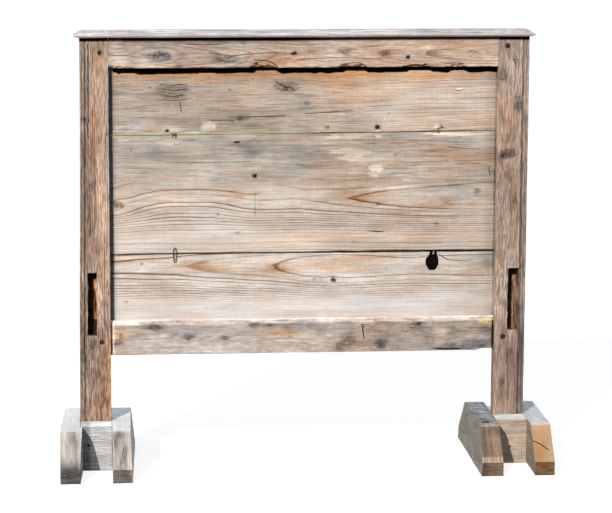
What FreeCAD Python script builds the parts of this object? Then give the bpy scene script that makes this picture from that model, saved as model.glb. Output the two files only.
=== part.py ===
import FreeCAD, Part
import os
import re
import Sketcher

# A free-standing sign board of reclaimed softwood.  Two posts and two rails frame three wide
# boards, a hipped cap lies on top, and each post is clamped between two foot beams.
# +X is to the right, +Y to the back, +Z up.  The origin is on the ground under the middle.
# Lengths are millimetres.

SIZES = {
    # frame
    "opening_width": 1168,
    "post_width": 95,
    "post_depth": 45,
    "post_height": 1300,
    "post_ground_gap": 8,
    "post_arris": 2,
    "reed_radius": 3.75,
    "quirk_width": 6,
    "quirk_below_reed": 1.5,
    "top_rail_height": 92,
    "bottom_rail_height": 106,
    "bottom_rail_level": 338.4,
    "bottom_rail_setback": 7,
    "bottom_rail_land": 3,
    "bottom_rail_chamfer": 12,
    # old open mortise in the face of each post
    "left_old_mortise_inset": 25,
    "left_old_mortise_width": 27.5,
    "right_old_mortise_inset": 22,
    "right_old_mortise_width": 33,
    "old_mortise_height": 190,
    "old_mortise_level": 402,
    "old_mortise_depth": 38,
    # rail tenons and their pegs
    "tenon_thickness": 16,
    "tenon_length": 60,
    "top_tenon_height": 60,
    "top_tenon_rise": 18,
    "bottom_tenon_height": 42,
    "bottom_tenon_rise": 13,
    "tenon_play": 0.2,
    "tenon_end_play": 1,
    "peg_diameter": 12,
    "peg_inset": 28,
    "peg_sink": 1,
    "peg_play": 0.1,
    "left_top_peg_drop": 45,
    "right_top_peg_drop": 29,
    "bottom_peg_rise": 42.6,
    # panel
    "panel_recess": 22,
    "board_thickness": 16,
    "groove_depth": 15,
    "groove_play": 0.4,
    "board_end_play": 1,
    "lower_board_face": 201.1,
    "upper_board_face": 199,
    "upper_joint_rise": 9.5,
    "board_gap": 0.6,
    "knothole_inset": 191,
    "knothole_radius": 18.5,
    "knothole_height": 49,
    "knothole_neck_height": 12,
    "knothole_neck_width": 17,
    # dowels across the board joints
    "dowel_diameter": 8,
    "dowel_length": 48,
    "left_dowel_inset": 196.5,
    "upper_right_dowel_inset": 175,
    "lower_right_dowel_inset": 185.5,
    "dowel_play": 0.3,
    "upper_dowel_drop": 24,
    "lower_left_dowel_drop": 30,
    "lower_right_dowel_drop": 12,
    # battens behind the boards
    "batten_width": 95,
    "batten_thickness": 22,
    "batten_inset": 189,
    "batten_end_gap": 4,
    "batten_screw_spread": 60,
    "batten_screw_edge": 45,
    "batten_screw_bite": 11,
    "batten_screw_diameter": 4,
    "batten_screw_head": 8,
    "batten_screw_head_height": 3.5,
    # cap
    "cap_thickness": 22,
    "cap_edge": 6,
    "cap_bevel_run": 25,
    "cap_end_overhang": 17,
    "cap_side_overhang": 11.5,
    "cap_screw_inset": 20,
    "cap_rail_screw_inset": 384,
    "cap_screw_bite": 44,
    "cap_screw_diameter": 5,
    "cap_screw_head": 9,
    "cap_screw_head_height": 4,
    # feet
    "beam_width": 60,
    "beam_height": 138,
    "beam_nose_height": 40,
    "beam_bottom_length": 488,
    "beam_top_length": 308,
    "spacer_depth": 70,
    "spacer_height": 138,
    "foot_screw_low_level": 45,
    "foot_screw_high_level": 100,
    "foot_screw_bite": 40,
    "foot_screw_diameter": 8,
    "foot_screw_head": 18,
    "foot_screw_head_height": 7,
    # all screws
    "screw_play": 0.2,
    "screw_tip_length": 6,
}

# Places that several pieces share, as spreadsheet expressions.
HALF_OPENING = "opening_width / 2"
HALF_WIDTH = "(opening_width / 2 + post_width)"
FRONT = "(-post_depth / 2)"
QUIRK_START = "(4 * reed_radius)"
QUIRK_END = "(4 * reed_radius + quirk_width)"
GROOVE_BACK = "(panel_recess + board_thickness + groove_play)"
TOP_RAIL_LEVEL = "(post_height - top_rail_height)"
BOTTOM_RAIL_TOP = "(bottom_rail_level + bottom_rail_height)"
PANEL_TOP = "(post_height - top_rail_height + groove_depth - board_end_play)"
PANEL_BOTTOM = "(bottom_rail_level + bottom_rail_height - groove_depth)"
HALF_PANEL = "(opening_width / 2 + groove_depth - board_end_play)"
BOARD_BACK = "(panel_recess + board_thickness - post_depth / 2)"
LOWER_JOINT = "(bottom_rail_level + bottom_rail_height + lower_board_face)"
UPPER_JOINT = "(post_height - top_rail_height - upper_board_face)"
JOINT_SLOPE = "(upper_joint_rise / opening_width)"
BATTEN_X = "(opening_width / 2 - batten_inset)"
KNOTHOLE_X = "(opening_width / 2 - knothole_inset)"
KNOTHOLE_LEVEL = f"({LOWER_JOINT} - knothole_neck_height - knothole_height / 2)"
KNOTHOLE_STRAIGHT = "(knothole_height / 2 - knothole_radius)"
SPACER_MIDDLE = "(post_depth / 2 + spacer_depth / 2)"
OUTER_FOOT_FACE = "(opening_width / 2 + post_width + beam_width)"

SIDES = {"left": -1, "right": 1}

doc = FreeCAD.newDocument("SignBoard")
sheet = doc.addObject("Spreadsheet::Sheet", "Sizes")
for row, (alias, size) in enumerate(SIZES.items(), start=1):
    sheet.set(f"A{row}", alias.replace("_", " "))
    sheet.set(f"B{row}", str(size))
    sheet.setAlias(f"B{row}", alias)
doc.recompute()


def sized(text):
    """The expression with each size named as a cell of the sheet."""
    return re.sub(r"[a-z][a-z_]*", lambda word: "Sizes." + word.group(), str(text))


def value(text):
    return float(sheet.evalExpression(sized(text)))


def bind(item, **paths):
    """Ties properties to expressions: bind(cylinder, Radius="peg_diameter / 2")."""
    for path, text in paths.items():
        item.setExpression(path, sized(text))


def place(item, x="0", y="0", z="0"):
    for axis, text in zip("xyz", (x, y, z)):
        item.setExpression("Placement.Base." + axis, sized(text))


def new_body(label, x="0", y="0", z="0"):
    body = doc.addObject("PartDesign::Body", label)
    body.Label = label
    place(body, x, y, z)
    return body


def new_sketch(body, plane, offset="0"):
    """A sketch on one of the body's own planes, offset along that plane's normal."""
    sketch = body.newObject("Sketcher::SketchObject", body.Label + "_sketch")
    plane_feature = next(f for f in body.Origin.OriginFeatures if f.Role == plane + "_Plane")
    sketch.AttachmentSupport = [(plane_feature, "")]
    sketch.MapMode = "FlatFace"
    sketch.setExpression("AttachmentOffset.Base.z", sized(offset))
    return sketch


def fix_point(sketch, geometry, point, x, y):
    for kind, text in (("DistanceX", x), ("DistanceY", y)):
        index = sketch.addConstraint(Sketcher.Constraint(kind, geometry, point, value(text)))
        sketch.setExpression(f"Constraints[{index}]", sized(text))


def outline(sketch, corners, arcs=None):
    """A closed outline through corners given as pairs of expressions.

    arcs maps the number of a side to its (middle x, middle y, centre y)."""
    arcs = arcs or {}
    points = [FreeCAD.Vector(value(x), value(y), 0) for x, y in corners]
    sides = []
    for number, start in enumerate(points):
        end = points[(number + 1) % len(points)]
        if number not in arcs:
            geometry = sketch.addGeometry(Part.LineSegment(start, end), False)
            sides.append((geometry, 1, 2))
            continue
        middle_x, middle_y, _ = arcs[number]
        middle = FreeCAD.Vector(value(middle_x), value(middle_y), 0)
        geometry = sketch.addGeometry(Part.Arc(start, middle, end), False)
        forward = sketch.getPoint(geometry, 1).distanceToPoint(start) < 1e-6
        sides.append((geometry, 1, 2) if forward else (geometry, 2, 1))
    for number, (geometry, first, last) in enumerate(sides):
        following, following_first, _ = sides[(number + 1) % len(sides)]
        sketch.addConstraint(
            Sketcher.Constraint("Coincident", geometry, last, following, following_first)
        )
        fix_point(sketch, geometry, first, *corners[number])
    for number, (_, _, centre_y) in arcs.items():
        geometry = sides[number][0]
        index = sketch.addConstraint(
            Sketcher.Constraint("DistanceY", geometry, 3, value(centre_y))
        )
        sketch.setExpression(f"Constraints[{index}]", sized(centre_y))
    return sketch


def rectangle(sketch, x_low, x_high, y_low, y_high):
    corners = [(x_low, y_low), (x_high, y_low), (x_high, y_high), (x_low, y_high)]
    return outline(sketch, corners)


def ring(sketch, x, y, diameter):
    circle = Part.Circle(
        FreeCAD.Vector(value(x), value(y), 0), FreeCAD.Vector(0, 0, 1), value(diameter) / 2
    )
    geometry = sketch.addGeometry(circle, False)
    fix_point(sketch, geometry, 3, x, y)
    index = sketch.addConstraint(
        Sketcher.Constraint("Diameter", geometry, value(diameter))
    )
    sketch.setExpression(f"Constraints[{index}]", sized(diameter))
    return sketch


def pad(body, sketch, length, both_ways=False, backwards=False):
    feature = body.newObject("PartDesign::Pad", body.Label + "_pad")
    feature.Profile = sketch
    feature.SideType = "Symmetric" if both_ways else "One side"
    feature.Reversed = backwards
    feature.setExpression("Length", sized(length))
    return feature


def pocket(body, sketch, length, both_ways=False, backwards=False):
    feature = body.newObject("PartDesign::Pocket", body.Label + "_pocket")
    feature.Profile = sketch
    feature.SideType = "Symmetric" if both_ways else "One side"
    feature.Reversed = backwards
    feature.setExpression("Length", sized(length))
    return feature


# ---------------------------------------------------------------- posts


def make_post(side):
    """An upright.  In its section, distance across is measured from the outer face inwards."""
    inward = -SIDES[side]

    def across(text):
        return f"{inward} * ({text})"

    body = new_body(side + "_post", x=f"{SIDES[side]} * {HALF_WIDTH}", y=FRONT)
    section = [
        ("0", "reed_radius"),
        ("2 * reed_radius", "reed_radius"),
        (QUIRK_START, "reed_radius"),
        (QUIRK_START, "reed_radius + quirk_below_reed"),
        (QUIRK_END, "reed_radius + quirk_below_reed"),
        (QUIRK_END, "0"),
        ("post_width - post_arris", "0"),
        ("post_width", "post_arris"),
        ("post_width", "post_depth - post_arris"),
        ("post_width - post_arris", "post_depth"),
        ("post_arris", "post_depth"),
        ("0", "post_depth - post_arris"),
    ]
    reeds = {
        0: (across("reed_radius"), "0", "reed_radius"),
        1: (across("3 * reed_radius"), "0", "reed_radius"),
    }
    sketch = new_sketch(body, "XY", "post_ground_gap")
    outline(sketch, [(across(x), y) for x, y in section], reeds)
    pad(body, sketch, "post_height - post_ground_gap")
    cut_panel_groove(body, across)
    cut_rail_mortises(body, side)
    cut_old_mortise(body, side, across)
    cut_post_holes(body, side, across)
    return body


def cut_panel_groove(body, across):
    """The groove for the board ends stops inside the height of each rail."""
    sketch = new_sketch(body, "XY", TOP_RAIL_LEVEL + " + groove_depth")
    rectangle(
        sketch, across("post_width - groove_depth"), across("post_width + 1"), "panel_recess", GROOVE_BACK
    )
    pocket(body, sketch, f"{TOP_RAIL_LEVEL} + groove_depth - {PANEL_BOTTOM}")


def cut_rail_mortises(body, side):
    """Blind mortises for the rails' tenons, cut from the inner face."""
    spans = (
        (TOP_RAIL_LEVEL + " + top_tenon_rise", "top_tenon_height"),
        ("bottom_rail_level + bottom_tenon_rise", "bottom_tenon_height"),
    )
    for low, height in spans:
        sketch = new_sketch(body, "YZ", f"{-SIDES[side]} * post_width")
        rectangle(
            sketch,
            "panel_recess - tenon_play",
            "panel_recess + tenon_thickness + tenon_play",
            f"{low} - tenon_play",
            f"{low} + {height} + tenon_play",
        )
        pocket(body, sketch, "tenon_length + tenon_end_play", backwards=side == "right")


def cut_old_mortise(body, side, across):
    sketch = new_sketch(body, "XZ")
    rectangle(
        sketch,
        across(f"{side}_old_mortise_inset"),
        across(f"{side}_old_mortise_inset + {side}_old_mortise_width"),
        "old_mortise_level",
        "old_mortise_level + old_mortise_height",
    )
    pocket(body, sketch, "old_mortise_depth")


def peg_level(side, rail):
    if rail == "top":
        return f"(post_height - {side}_top_peg_drop)"
    return "(bottom_rail_level + bottom_peg_rise)"


def cut_post_holes(body, side, across):
    """Peg holes from the front, foot screw holes across, and a pilot hole for the cap screw."""
    sketch = new_sketch(body, "XZ")
    for rail in ("top", "bottom"):
        ring(
            sketch,
            across("post_width - peg_inset"),
            peg_level(side, rail),
            "peg_diameter + 2 * peg_play",
        )
    pocket(body, sketch, "post_depth + 1")
    sketch = new_sketch(body, "YZ", f"{-SIDES[side]} * (post_width + 1)")
    for level in ("foot_screw_low_level", "foot_screw_high_level"):
        ring(sketch, "post_depth / 2", level, "foot_screw_diameter + 2 * screw_play")
    pocket(body, sketch, "post_width + 2", backwards=side == "right")
    sketch = new_sketch(body, "XY", "post_height")
    ring(
        sketch, across("cap_screw_inset"), "post_depth / 2", "cap_screw_diameter + 2 * screw_play"
    )
    pocket(body, sketch, "cap_screw_bite + 1")


# ---------------------------------------------------------------- rails


def add_tenons(body, rise, height, setback):
    """One bar through the rail makes the tenon at each end."""
    sketch = new_sketch(body, "YZ")
    rectangle(
        sketch,
        f"panel_recess - {setback}",
        f"panel_recess - {setback} + tenon_thickness",
        rise,
        f"{rise} + {height}",
    )
    pad(body, sketch, "opening_width + 2 * tenon_length", both_ways=True)


def cut_rail_peg_holes(body, rail, rail_level):
    sketch = new_sketch(body, "XZ", "1")
    for side, sign in SIDES.items():
        ring(
            sketch,
            f"{sign} * ({HALF_OPENING} + peg_inset)",
            f"{peg_level(side, rail)} - {rail_level}",
            "peg_diameter + 2 * peg_play",
        )
    pocket(body, sketch, "post_depth + 2")


def make_top_rail():
    body = new_body("top_rail", y=FRONT, z=TOP_RAIL_LEVEL)
    section = [
        ("0", "0"),
        ("panel_recess", "0"),
        ("panel_recess", "groove_depth"),
        (GROOVE_BACK, "groove_depth"),
        (GROOVE_BACK, "0"),
        ("post_depth", "0"),
        ("post_depth", "top_rail_height"),
        ("0", "top_rail_height"),
    ]
    pad(body, outline(new_sketch(body, "YZ"), section), "opening_width", both_ways=True)
    add_tenons(body, "top_tenon_rise", "top_tenon_height", "0")
    cut_rail_peg_holes(body, "top", TOP_RAIL_LEVEL)
    sketch = new_sketch(body, "XY", "top_rail_height")
    for sign in SIDES.values():
        ring(
            sketch,
            f"{sign} * ({HALF_OPENING} - cap_rail_screw_inset)",
            "post_depth / 2",
            "cap_screw_diameter + 2 * screw_play",
        )
    pocket(body, sketch, "cap_screw_bite + 1")
    return body


def make_bottom_rail():
    """Set back from the posts, with a chamfer that sheds water from its upper front edge."""
    body = new_body(
        "bottom_rail", y=FRONT + " + bottom_rail_setback", z="bottom_rail_level"
    )
    depth = "(post_depth - bottom_rail_setback)"
    groove_front = "(panel_recess - bottom_rail_setback)"
    groove_back = f"({GROOVE_BACK} - bottom_rail_setback)"
    section = [
        ("0", "0"),
        (depth, "0"),
        (depth, "bottom_rail_height"),
        (groove_back, "bottom_rail_height"),
        (groove_back, "bottom_rail_height - groove_depth"),
        (groove_front, "bottom_rail_height - groove_depth"),
        (groove_front, "bottom_rail_height"),
        (groove_front + " - bottom_rail_land", "bottom_rail_height"),
        ("0", "bottom_rail_height - bottom_rail_chamfer"),
    ]
    pad(body, outline(new_sketch(body, "YZ"), section), "opening_width", both_ways=True)
    add_tenons(body, "bottom_tenon_rise", "bottom_tenon_height", "bottom_rail_setback")
    cut_rail_peg_holes(body, "bottom", "bottom_rail_level")
    return body


# ---------------------------------------------------------------- boards


def joint_level(joint, x="0"):
    """Height of a board joint.  The upper one climbs to the right, as the boards taper."""
    if joint == "lower":
        return LOWER_JOINT
    return f"({UPPER_JOINT} + {JOINT_SLOPE} * ({x}))"


def dowel_drop(joint, side):
    return "upper_dowel_drop" if joint == "upper" else f"lower_{side}_dowel_drop"


def dowel_place(joint, side):
    """Where a dowel stands: its x, its lower end and its upper end."""
    inset = "left_dowel_inset" if side == "left" else f"{joint}_right_dowel_inset"
    x = f"{SIDES[side]} * ({HALF_OPENING} - {inset})"
    low = f"({joint_level(joint, x)} - {dowel_drop(joint, side)})"
    return x, low, f"({low} + dowel_length)"


def make_board(label, low_joint, high_joint):
    """A flat board whose ends and outer edges sit in the grooves of the frame."""
    body = new_body(label, y=FRONT + " + panel_recess")
    left_end = f"-{HALF_PANEL}"
    corners = []
    for x, joint, fallback, half_gap in (
        (left_end, low_joint, PANEL_BOTTOM, "board_gap / 2"),
        (HALF_PANEL, low_joint, PANEL_BOTTOM, "board_gap / 2"),
        (HALF_PANEL, high_joint, PANEL_TOP, "-board_gap / 2"),
        (left_end, high_joint, PANEL_TOP, "-board_gap / 2"),
    ):
        level = f"{joint_level(joint, x)} + {half_gap}" if joint else fallback
        corners.append((x, level))
    sketch = outline(new_sketch(body, "XZ"), corners)
    pad(body, sketch, "board_thickness", backwards=True)
    if low_joint:
        cut_dowel_holes(body, low_joint, above=True)
    if high_joint:
        cut_dowel_holes(body, high_joint, above=False)
    cut_board_pilots(body, label)
    return body


def cut_dowel_holes(body, joint, above):
    """Half of each dowel's hole, in the board above or below the joint."""
    for side in SIDES:
        x, low, high = dowel_place(joint, side)
        end = f"({high} + dowel_play)" if above else f"({low} - dowel_play)"
        margin = "-upper_joint_rise" if above else "upper_joint_rise"
        mouth = f"({joint_level(joint)} + {margin})"
        sketch = new_sketch(body, "XY", mouth)
        ring(sketch, x, "board_thickness / 2", "dowel_diameter + 2 * peg_play")
        length = f"{end} - {mouth}" if above else f"{mouth} - {end}"
        pocket(body, sketch, length, backwards=above)


def cut_knothole(body):
    """An upright oval through the board, with a narrower neck up to the joint."""
    sketch = new_sketch(body, "XZ")
    left = f"{KNOTHOLE_X} - knothole_radius"
    right = f"{KNOTHOLE_X} + knothole_radius"
    low = f"{KNOTHOLE_LEVEL} - {KNOTHOLE_STRAIGHT}"
    high = f"{KNOTHOLE_LEVEL} + {KNOTHOLE_STRAIGHT}"
    corners = [(left, low), (right, low), (right, high), (left, high)]
    ends = {
        0: (KNOTHOLE_X, low + " - knothole_radius", low),
        2: (KNOTHOLE_X, high + " + knothole_radius", high),
    }
    outline(sketch, corners, ends)
    pocket(body, sketch, "board_thickness")
    sketch = new_sketch(body, "XZ")
    rectangle(
        sketch,
        f"{KNOTHOLE_X} - knothole_neck_width / 2",
        f"{KNOTHOLE_X} + knothole_neck_width / 2",
        high,
        LOWER_JOINT + " + 1",
    )
    pocket(body, sketch, "board_thickness")


# ---------------------------------------------------------------- battens and their screws

BOARD_SPANS = {
    "lower_board": (BOTTOM_RAIL_TOP, LOWER_JOINT),
    "middle_board": (LOWER_JOINT, UPPER_JOINT),
    "upper_board": (UPPER_JOINT, TOP_RAIL_LEVEL),
}


def batten_screw_places(side, board):
    """Two screws in each board, low towards the middle and high towards the post."""
    low, high = BOARD_SPANS[board]
    sign = SIDES[side]
    return (
        (f"{sign} * ({BATTEN_X} - batten_screw_spread / 2)", f"({low} + batten_screw_edge)"),
        (f"{sign} * ({BATTEN_X} + batten_screw_spread / 2)", f"({high} - batten_screw_edge)"),
    )


def cut_board_pilots(body, board):
    sketch = new_sketch(body, "XZ", "-board_thickness")
    for side in SIDES:
        for x, z in batten_screw_places(side, board):
            ring(sketch, x, z, "batten_screw_diameter + 2 * screw_play")
    pocket(body, sketch, "batten_screw_bite + 1", backwards=True)


def make_batten(side):
    """An upright ledge behind the boards, which keeps them flat."""
    body = new_body(side + "_batten", y=BOARD_BACK)
    low = f"({BOTTOM_RAIL_TOP} + batten_end_gap)"
    high = f"({TOP_RAIL_LEVEL} - batten_end_gap)"
    middle = f"{SIDES[side]} * {BATTEN_X}"
    sketch = rectangle(
        new_sketch(body, "XY", low),
        f"{middle} - batten_width / 2",
        f"{middle} + batten_width / 2",
        "0",
        "batten_thickness",
    )
    pad(body, sketch, f"{high} - {low}")
    holes = (
        ("batten_screw_diameter + 2 * screw_play", "batten_thickness"),
        ("batten_screw_head + 2 * screw_play", "batten_screw_head_height"),
    )
    for diameter, depth in holes:
        sketch = new_sketch(body, "XZ", "-batten_thickness")
        for board in BOARD_SPANS:
            for x, z in batten_screw_places(side, board):
                ring(sketch, x, z, diameter)
        pocket(body, sketch, depth, backwards=True)
    return body


# ---------------------------------------------------------------- cap


def cap_screw_places():
    for sign in SIDES.values():
        yield f"{sign} * ({HALF_WIDTH} - cap_screw_inset)"
        yield f"{sign} * ({HALF_OPENING} - cap_rail_screw_inset)"


def make_cap():
    """A board with an upright edge and a slope on all four sides."""
    body = new_body("cap_board", z="post_height")
    half_length = f"({HALF_WIDTH} + cap_end_overhang)"
    half_depth = "(post_depth / 2 + cap_side_overhang)"
    sketch = rectangle(
        new_sketch(body, "XY"), f"-{half_length}", half_length, f"-{half_depth}", half_depth
    )
    pad(body, sketch, "cap_edge")
    eaves = rectangle(
        new_sketch(body, "XY", "cap_edge"),
        f"-{half_length}",
        half_length,
        f"-{half_depth}",
        half_depth,
    )
    crown = rectangle(
        new_sketch(body, "XY", "cap_thickness"),
        f"-{half_length} + cap_bevel_run",
        f"{half_length} - cap_bevel_run",
        f"-{half_depth} + cap_bevel_run",
        f"{half_depth} - cap_bevel_run",
    )
    slopes = body.newObject("PartDesign::AdditiveLoft", "cap_slopes")
    slopes.Profile = eaves
    slopes.Sections = [crown]
    slopes.Ruled = True
    holes = (
        ("cap_screw_diameter + 2 * screw_play", "cap_thickness"),
        ("cap_screw_head + 2 * screw_play", "cap_screw_head_height"),
    )
    for diameter, depth in holes:
        sketch = new_sketch(body, "XY", "cap_thickness")
        for x in cap_screw_places():
            ring(sketch, x, "0", diameter)
        pocket(body, sketch, depth)
    return body


# ---------------------------------------------------------------- feet


def foot_screw_places():
    """Middles of the six screws of a foot: two in the post and two in each spacer."""
    for y in (f"-{SPACER_MIDDLE}", "0", SPACER_MIDDLE):
        for z in ("foot_screw_low_level", "foot_screw_high_level"):
            yield y, z


def make_beam(side, place_name):
    """A plank on edge with a short upright nose and a long slope at each end."""
    sign = SIDES[side]
    outer = place_name == "outer"
    clamped_face = HALF_WIDTH if outer else HALF_OPENING
    body = new_body(f"{side}_foot_{place_name}_beam", x=f"{sign} * {clamped_face}")
    outward = sign if outer else -sign
    profile = [
        ("-beam_bottom_length / 2", "0"),
        ("beam_bottom_length / 2", "0"),
        ("beam_bottom_length / 2", "beam_nose_height"),
        ("beam_top_length / 2", "beam_height"),
        ("-beam_top_length / 2", "beam_height"),
        ("-beam_bottom_length / 2", "beam_nose_height"),
    ]
    sketch = outline(new_sketch(body, "YZ"), profile)
    pad(body, sketch, "beam_width", backwards=outward < 0)
    reach = "beam_width" if outer else "foot_screw_bite + 1"
    sketch = new_sketch(body, "YZ")
    for y, z in foot_screw_places():
        ring(sketch, y, z, "foot_screw_diameter + 2 * screw_play")
    pocket(body, sketch, reach, backwards=outward > 0)
    if outer:
        sketch = new_sketch(body, "YZ", f"{outward} * beam_width")
        for y, z in foot_screw_places():
            ring(sketch, y, z, "foot_screw_head + 2 * screw_play")
        pocket(body, sketch, "foot_screw_head_height", backwards=outward < 0)
    return body


def make_spacer(side, place_name):
    """A block between the beams that holds them a post's width apart."""
    sign = SIDES[side]
    towards = -1 if place_name == "front" else 1
    body = new_body(
        f"{side}_{place_name}_spacer",
        x=f"{sign} * ({HALF_OPENING} + post_width / 2)",
        y=f"{towards} * {SPACER_MIDDLE}",
    )
    sketch = rectangle(
        new_sketch(body, "XY"),
        "-post_width / 2",
        "post_width / 2",
        "-spacer_depth / 2",
        "spacer_depth / 2",
    )
    pad(body, sketch, "spacer_height")
    sketch = new_sketch(body, "YZ")
    for level in ("foot_screw_low_level", "foot_screw_high_level"):
        ring(sketch, "0", level, "foot_screw_diameter + 2 * screw_play")
    pocket(body, sketch, "post_width", both_ways=True)
    return body


# ---------------------------------------------------------------- pegs, dowels and screws

# Rotations that turn a cylinder's axis from +Z to the direction in the name.
TO_BACK = FreeCAD.Rotation(FreeCAD.Vector(1, 0, 0), -90)
TO_FRONT = FreeCAD.Rotation(FreeCAD.Vector(1, 0, 0), 90)
TO_RIGHT = FreeCAD.Rotation(FreeCAD.Vector(0, 1, 0), 90)
TO_LEFT = FreeCAD.Rotation(FreeCAD.Vector(0, 1, 0), -90)
DOWN = FreeCAD.Rotation(FreeCAD.Vector(1, 0, 0), 180)


def group(label, solids):
    """Equal fasteners kept together as one node of separate solids."""
    compound = doc.addObject("Part::Compound", label)
    compound.Label = label
    compound.Links = solids
    return compound


def rod(name, diameter, length, x, y, z, turn=None):
    cylinder = doc.addObject("Part::Cylinder", name)
    bind(cylinder, Radius=f"({diameter}) / 2", Height=length)
    if turn:
        cylinder.Placement.Rotation = turn
    place(cylinder, x, y, z)
    return cylinder


def screw(name, kind, length, x, y, z, turn):
    """A screw with a flat head at (x, y, z), a shank and a point.

    kind is the prefix of its sizes, and length is head to tip."""
    head = rod(name + "_head", kind + "_head", kind + "_head_height", x, y, z, turn)
    direction = turn.multVec(FreeCAD.Vector(0, 0, 1))
    steps = [round(part) for part in direction]

    def along(distance):
        return [f"({start}) + {step} * ({distance})" for start, step in zip((x, y, z), steps)]

    shank_length = f"({length}) - screw_tip_length - {kind}_head_height"
    shank_start = along(kind + "_head_height")
    shank = rod(name + "_shank", kind + "_diameter", shank_length, *shank_start, turn)
    tip = doc.addObject("Part::Cone", name + "_tip")
    bind(tip, Radius1=f"{kind}_diameter / 2", Radius2=f"{kind}_diameter / 10", Height="screw_tip_length")
    tip.Placement.Rotation = turn
    place(tip, *along(f"({length}) - screw_tip_length"))
    joined = doc.addObject("Part::MultiFuse", name)
    joined.Shapes = [head, shank, tip]
    return joined


def make_pegs():
    pegs = []
    for side, sign in SIDES.items():
        for rail in ("top", "bottom"):
            pegs.append(
                rod(
                    f"{side}_{rail}_peg",
                    "peg_diameter",
                    "post_depth - peg_sink",
                    f"{sign} * ({HALF_OPENING} + peg_inset)",
                    FRONT + " + peg_sink",
                    peg_level(side, rail),
                    TO_BACK,
                )
            )
    return group("draw_bore_pegs", pegs)


def make_dowels(joint):
    dowels = []
    for side in SIDES:
        x, low, _ = dowel_place(joint, side)
        y = FRONT + " + panel_recess + board_thickness / 2"
        dowels.append(rod(f"{joint}_{side}_dowel", "dowel_diameter", "dowel_length", x, y, low))
    return group(joint + "_joint_dowels", dowels)


def make_batten_screws():
    screws = []
    for side in SIDES:
        for board in BOARD_SPANS:
            for number, (x, z) in enumerate(batten_screw_places(side, board), start=1):
                screws.append(
                    screw(
                        f"{side}_{board}_screw_{number}",
                        "batten_screw",
                        "batten_thickness + batten_screw_bite",
                        x,
                        BOARD_BACK + " + batten_thickness",
                        z,
                        TO_FRONT,
                    )
                )
    return group("batten_screws", screws)


def make_cap_screws():
    screws = []
    for number, x in enumerate(cap_screw_places(), start=1):
        top = "post_height + cap_thickness"
        screws.append(
            screw(
                f"cap_screw_{number}",
                "cap_screw",
                "cap_thickness + cap_screw_bite",
                x,
                "0",
                top,
                DOWN,
            )
        )
    return group("cap_screws", screws)


def make_foot_screws(side):
    """Each screw passes the outer beam and what is clamped, and bites into the inner beam."""
    turn = TO_RIGHT if side == "left" else TO_LEFT
    screws = []
    for number, (y, z) in enumerate(foot_screw_places(), start=1):
        screws.append(
            screw(
                f"{side}_foot_screw_{number}",
                "foot_screw",
                "beam_width + post_width + foot_screw_bite",
                f"{SIDES[side]} * {OUTER_FOOT_FACE}",
                y,
                z,
                turn,
            )
        )
    return group(side + "_foot_screws", screws)


# ---------------------------------------------------------------- the whole sign


def make_nodes():
    lower_board = make_board("lower_board", None, "lower")
    cut_knothole(lower_board)
    nodes = [
        make_top_rail(),
        make_bottom_rail(),
        lower_board,
        make_board("middle_board", "lower", "upper"),
        make_board("upper_board", "upper", None),
        make_cap(),
        make_pegs(),
        make_dowels("lower"),
        make_dowels("upper"),
        make_batten_screws(),
        make_cap_screws(),
    ]
    for side in SIDES:
        nodes.append(make_post(side))
        nodes.append(make_batten(side))
        for place_name in ("outer", "inner"):
            nodes.append(make_beam(side, place_name))
        for place_name in ("front", "rear"):
            nodes.append(make_spacer(side, place_name))
        nodes.append(make_foot_screws(side))
    return nodes


def check_document():
    """Stops on a failed feature, and on a pocket that removes nothing."""
    for item in doc.Objects:
        if "Invalid" in item.State or "Error" in item.State:
            raise RuntimeError(f"{item.Label} failed: {item.State}")
        if item.TypeId == "PartDesign::Pocket":
            removed = item.BaseFeature.Shape.Volume - item.Shape.Volume
            if removed < 1:
                raise RuntimeError(f"{item.Label} removes nothing")


def write_nodes(nodes):
    os.makedirs("parts", exist_ok=True)
    for node in nodes:
        if node.Shape.isNull() or not node.Shape.isValid():
            raise RuntimeError(f"{node.Label} has no valid shape")
    for node in nodes:
        node.Shape.exportStep(f"parts/{node.Label}.step")
        box = node.Shape.BoundBox
        size = f"{box.XLength:.1f} x {box.YLength:.1f} x {box.ZLength:.1f}"
        print(f"{node.Label}: {len(node.Shape.Solids)} solid(s), {size} mm")


all_nodes = make_nodes()
doc.recompute()
check_document()
write_nodes(all_nodes)
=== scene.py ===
import functools
import itertools
import math
from types import SimpleNamespace

import bpy
import numpy as np
from mathutils import Matrix, Vector


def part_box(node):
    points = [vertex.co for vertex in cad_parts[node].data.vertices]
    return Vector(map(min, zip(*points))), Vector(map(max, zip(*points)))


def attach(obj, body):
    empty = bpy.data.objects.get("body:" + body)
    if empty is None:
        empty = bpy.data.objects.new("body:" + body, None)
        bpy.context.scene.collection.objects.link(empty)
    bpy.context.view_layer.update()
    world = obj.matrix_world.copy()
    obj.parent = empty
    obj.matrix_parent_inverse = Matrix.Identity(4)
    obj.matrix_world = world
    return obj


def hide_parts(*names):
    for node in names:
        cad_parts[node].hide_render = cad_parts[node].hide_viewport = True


# The looks of a free-standing board of reclaimed softwood.  Every timber is a closed shell of
# small quads that starts from its CAD node's box, and is then worn, chipped and dented.  Each
# vertex carries numbers that the one wood shader reads: its place along the grain, its growth
# ring, and how near it is to a knot or a crack.
# Lengths in this file are millimetres until a mesh is made.  Where a function gives a change of
# tone, 0.1 is a tenth paler; a change of warm is towards orange, or towards grey-blue below 0.

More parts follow.
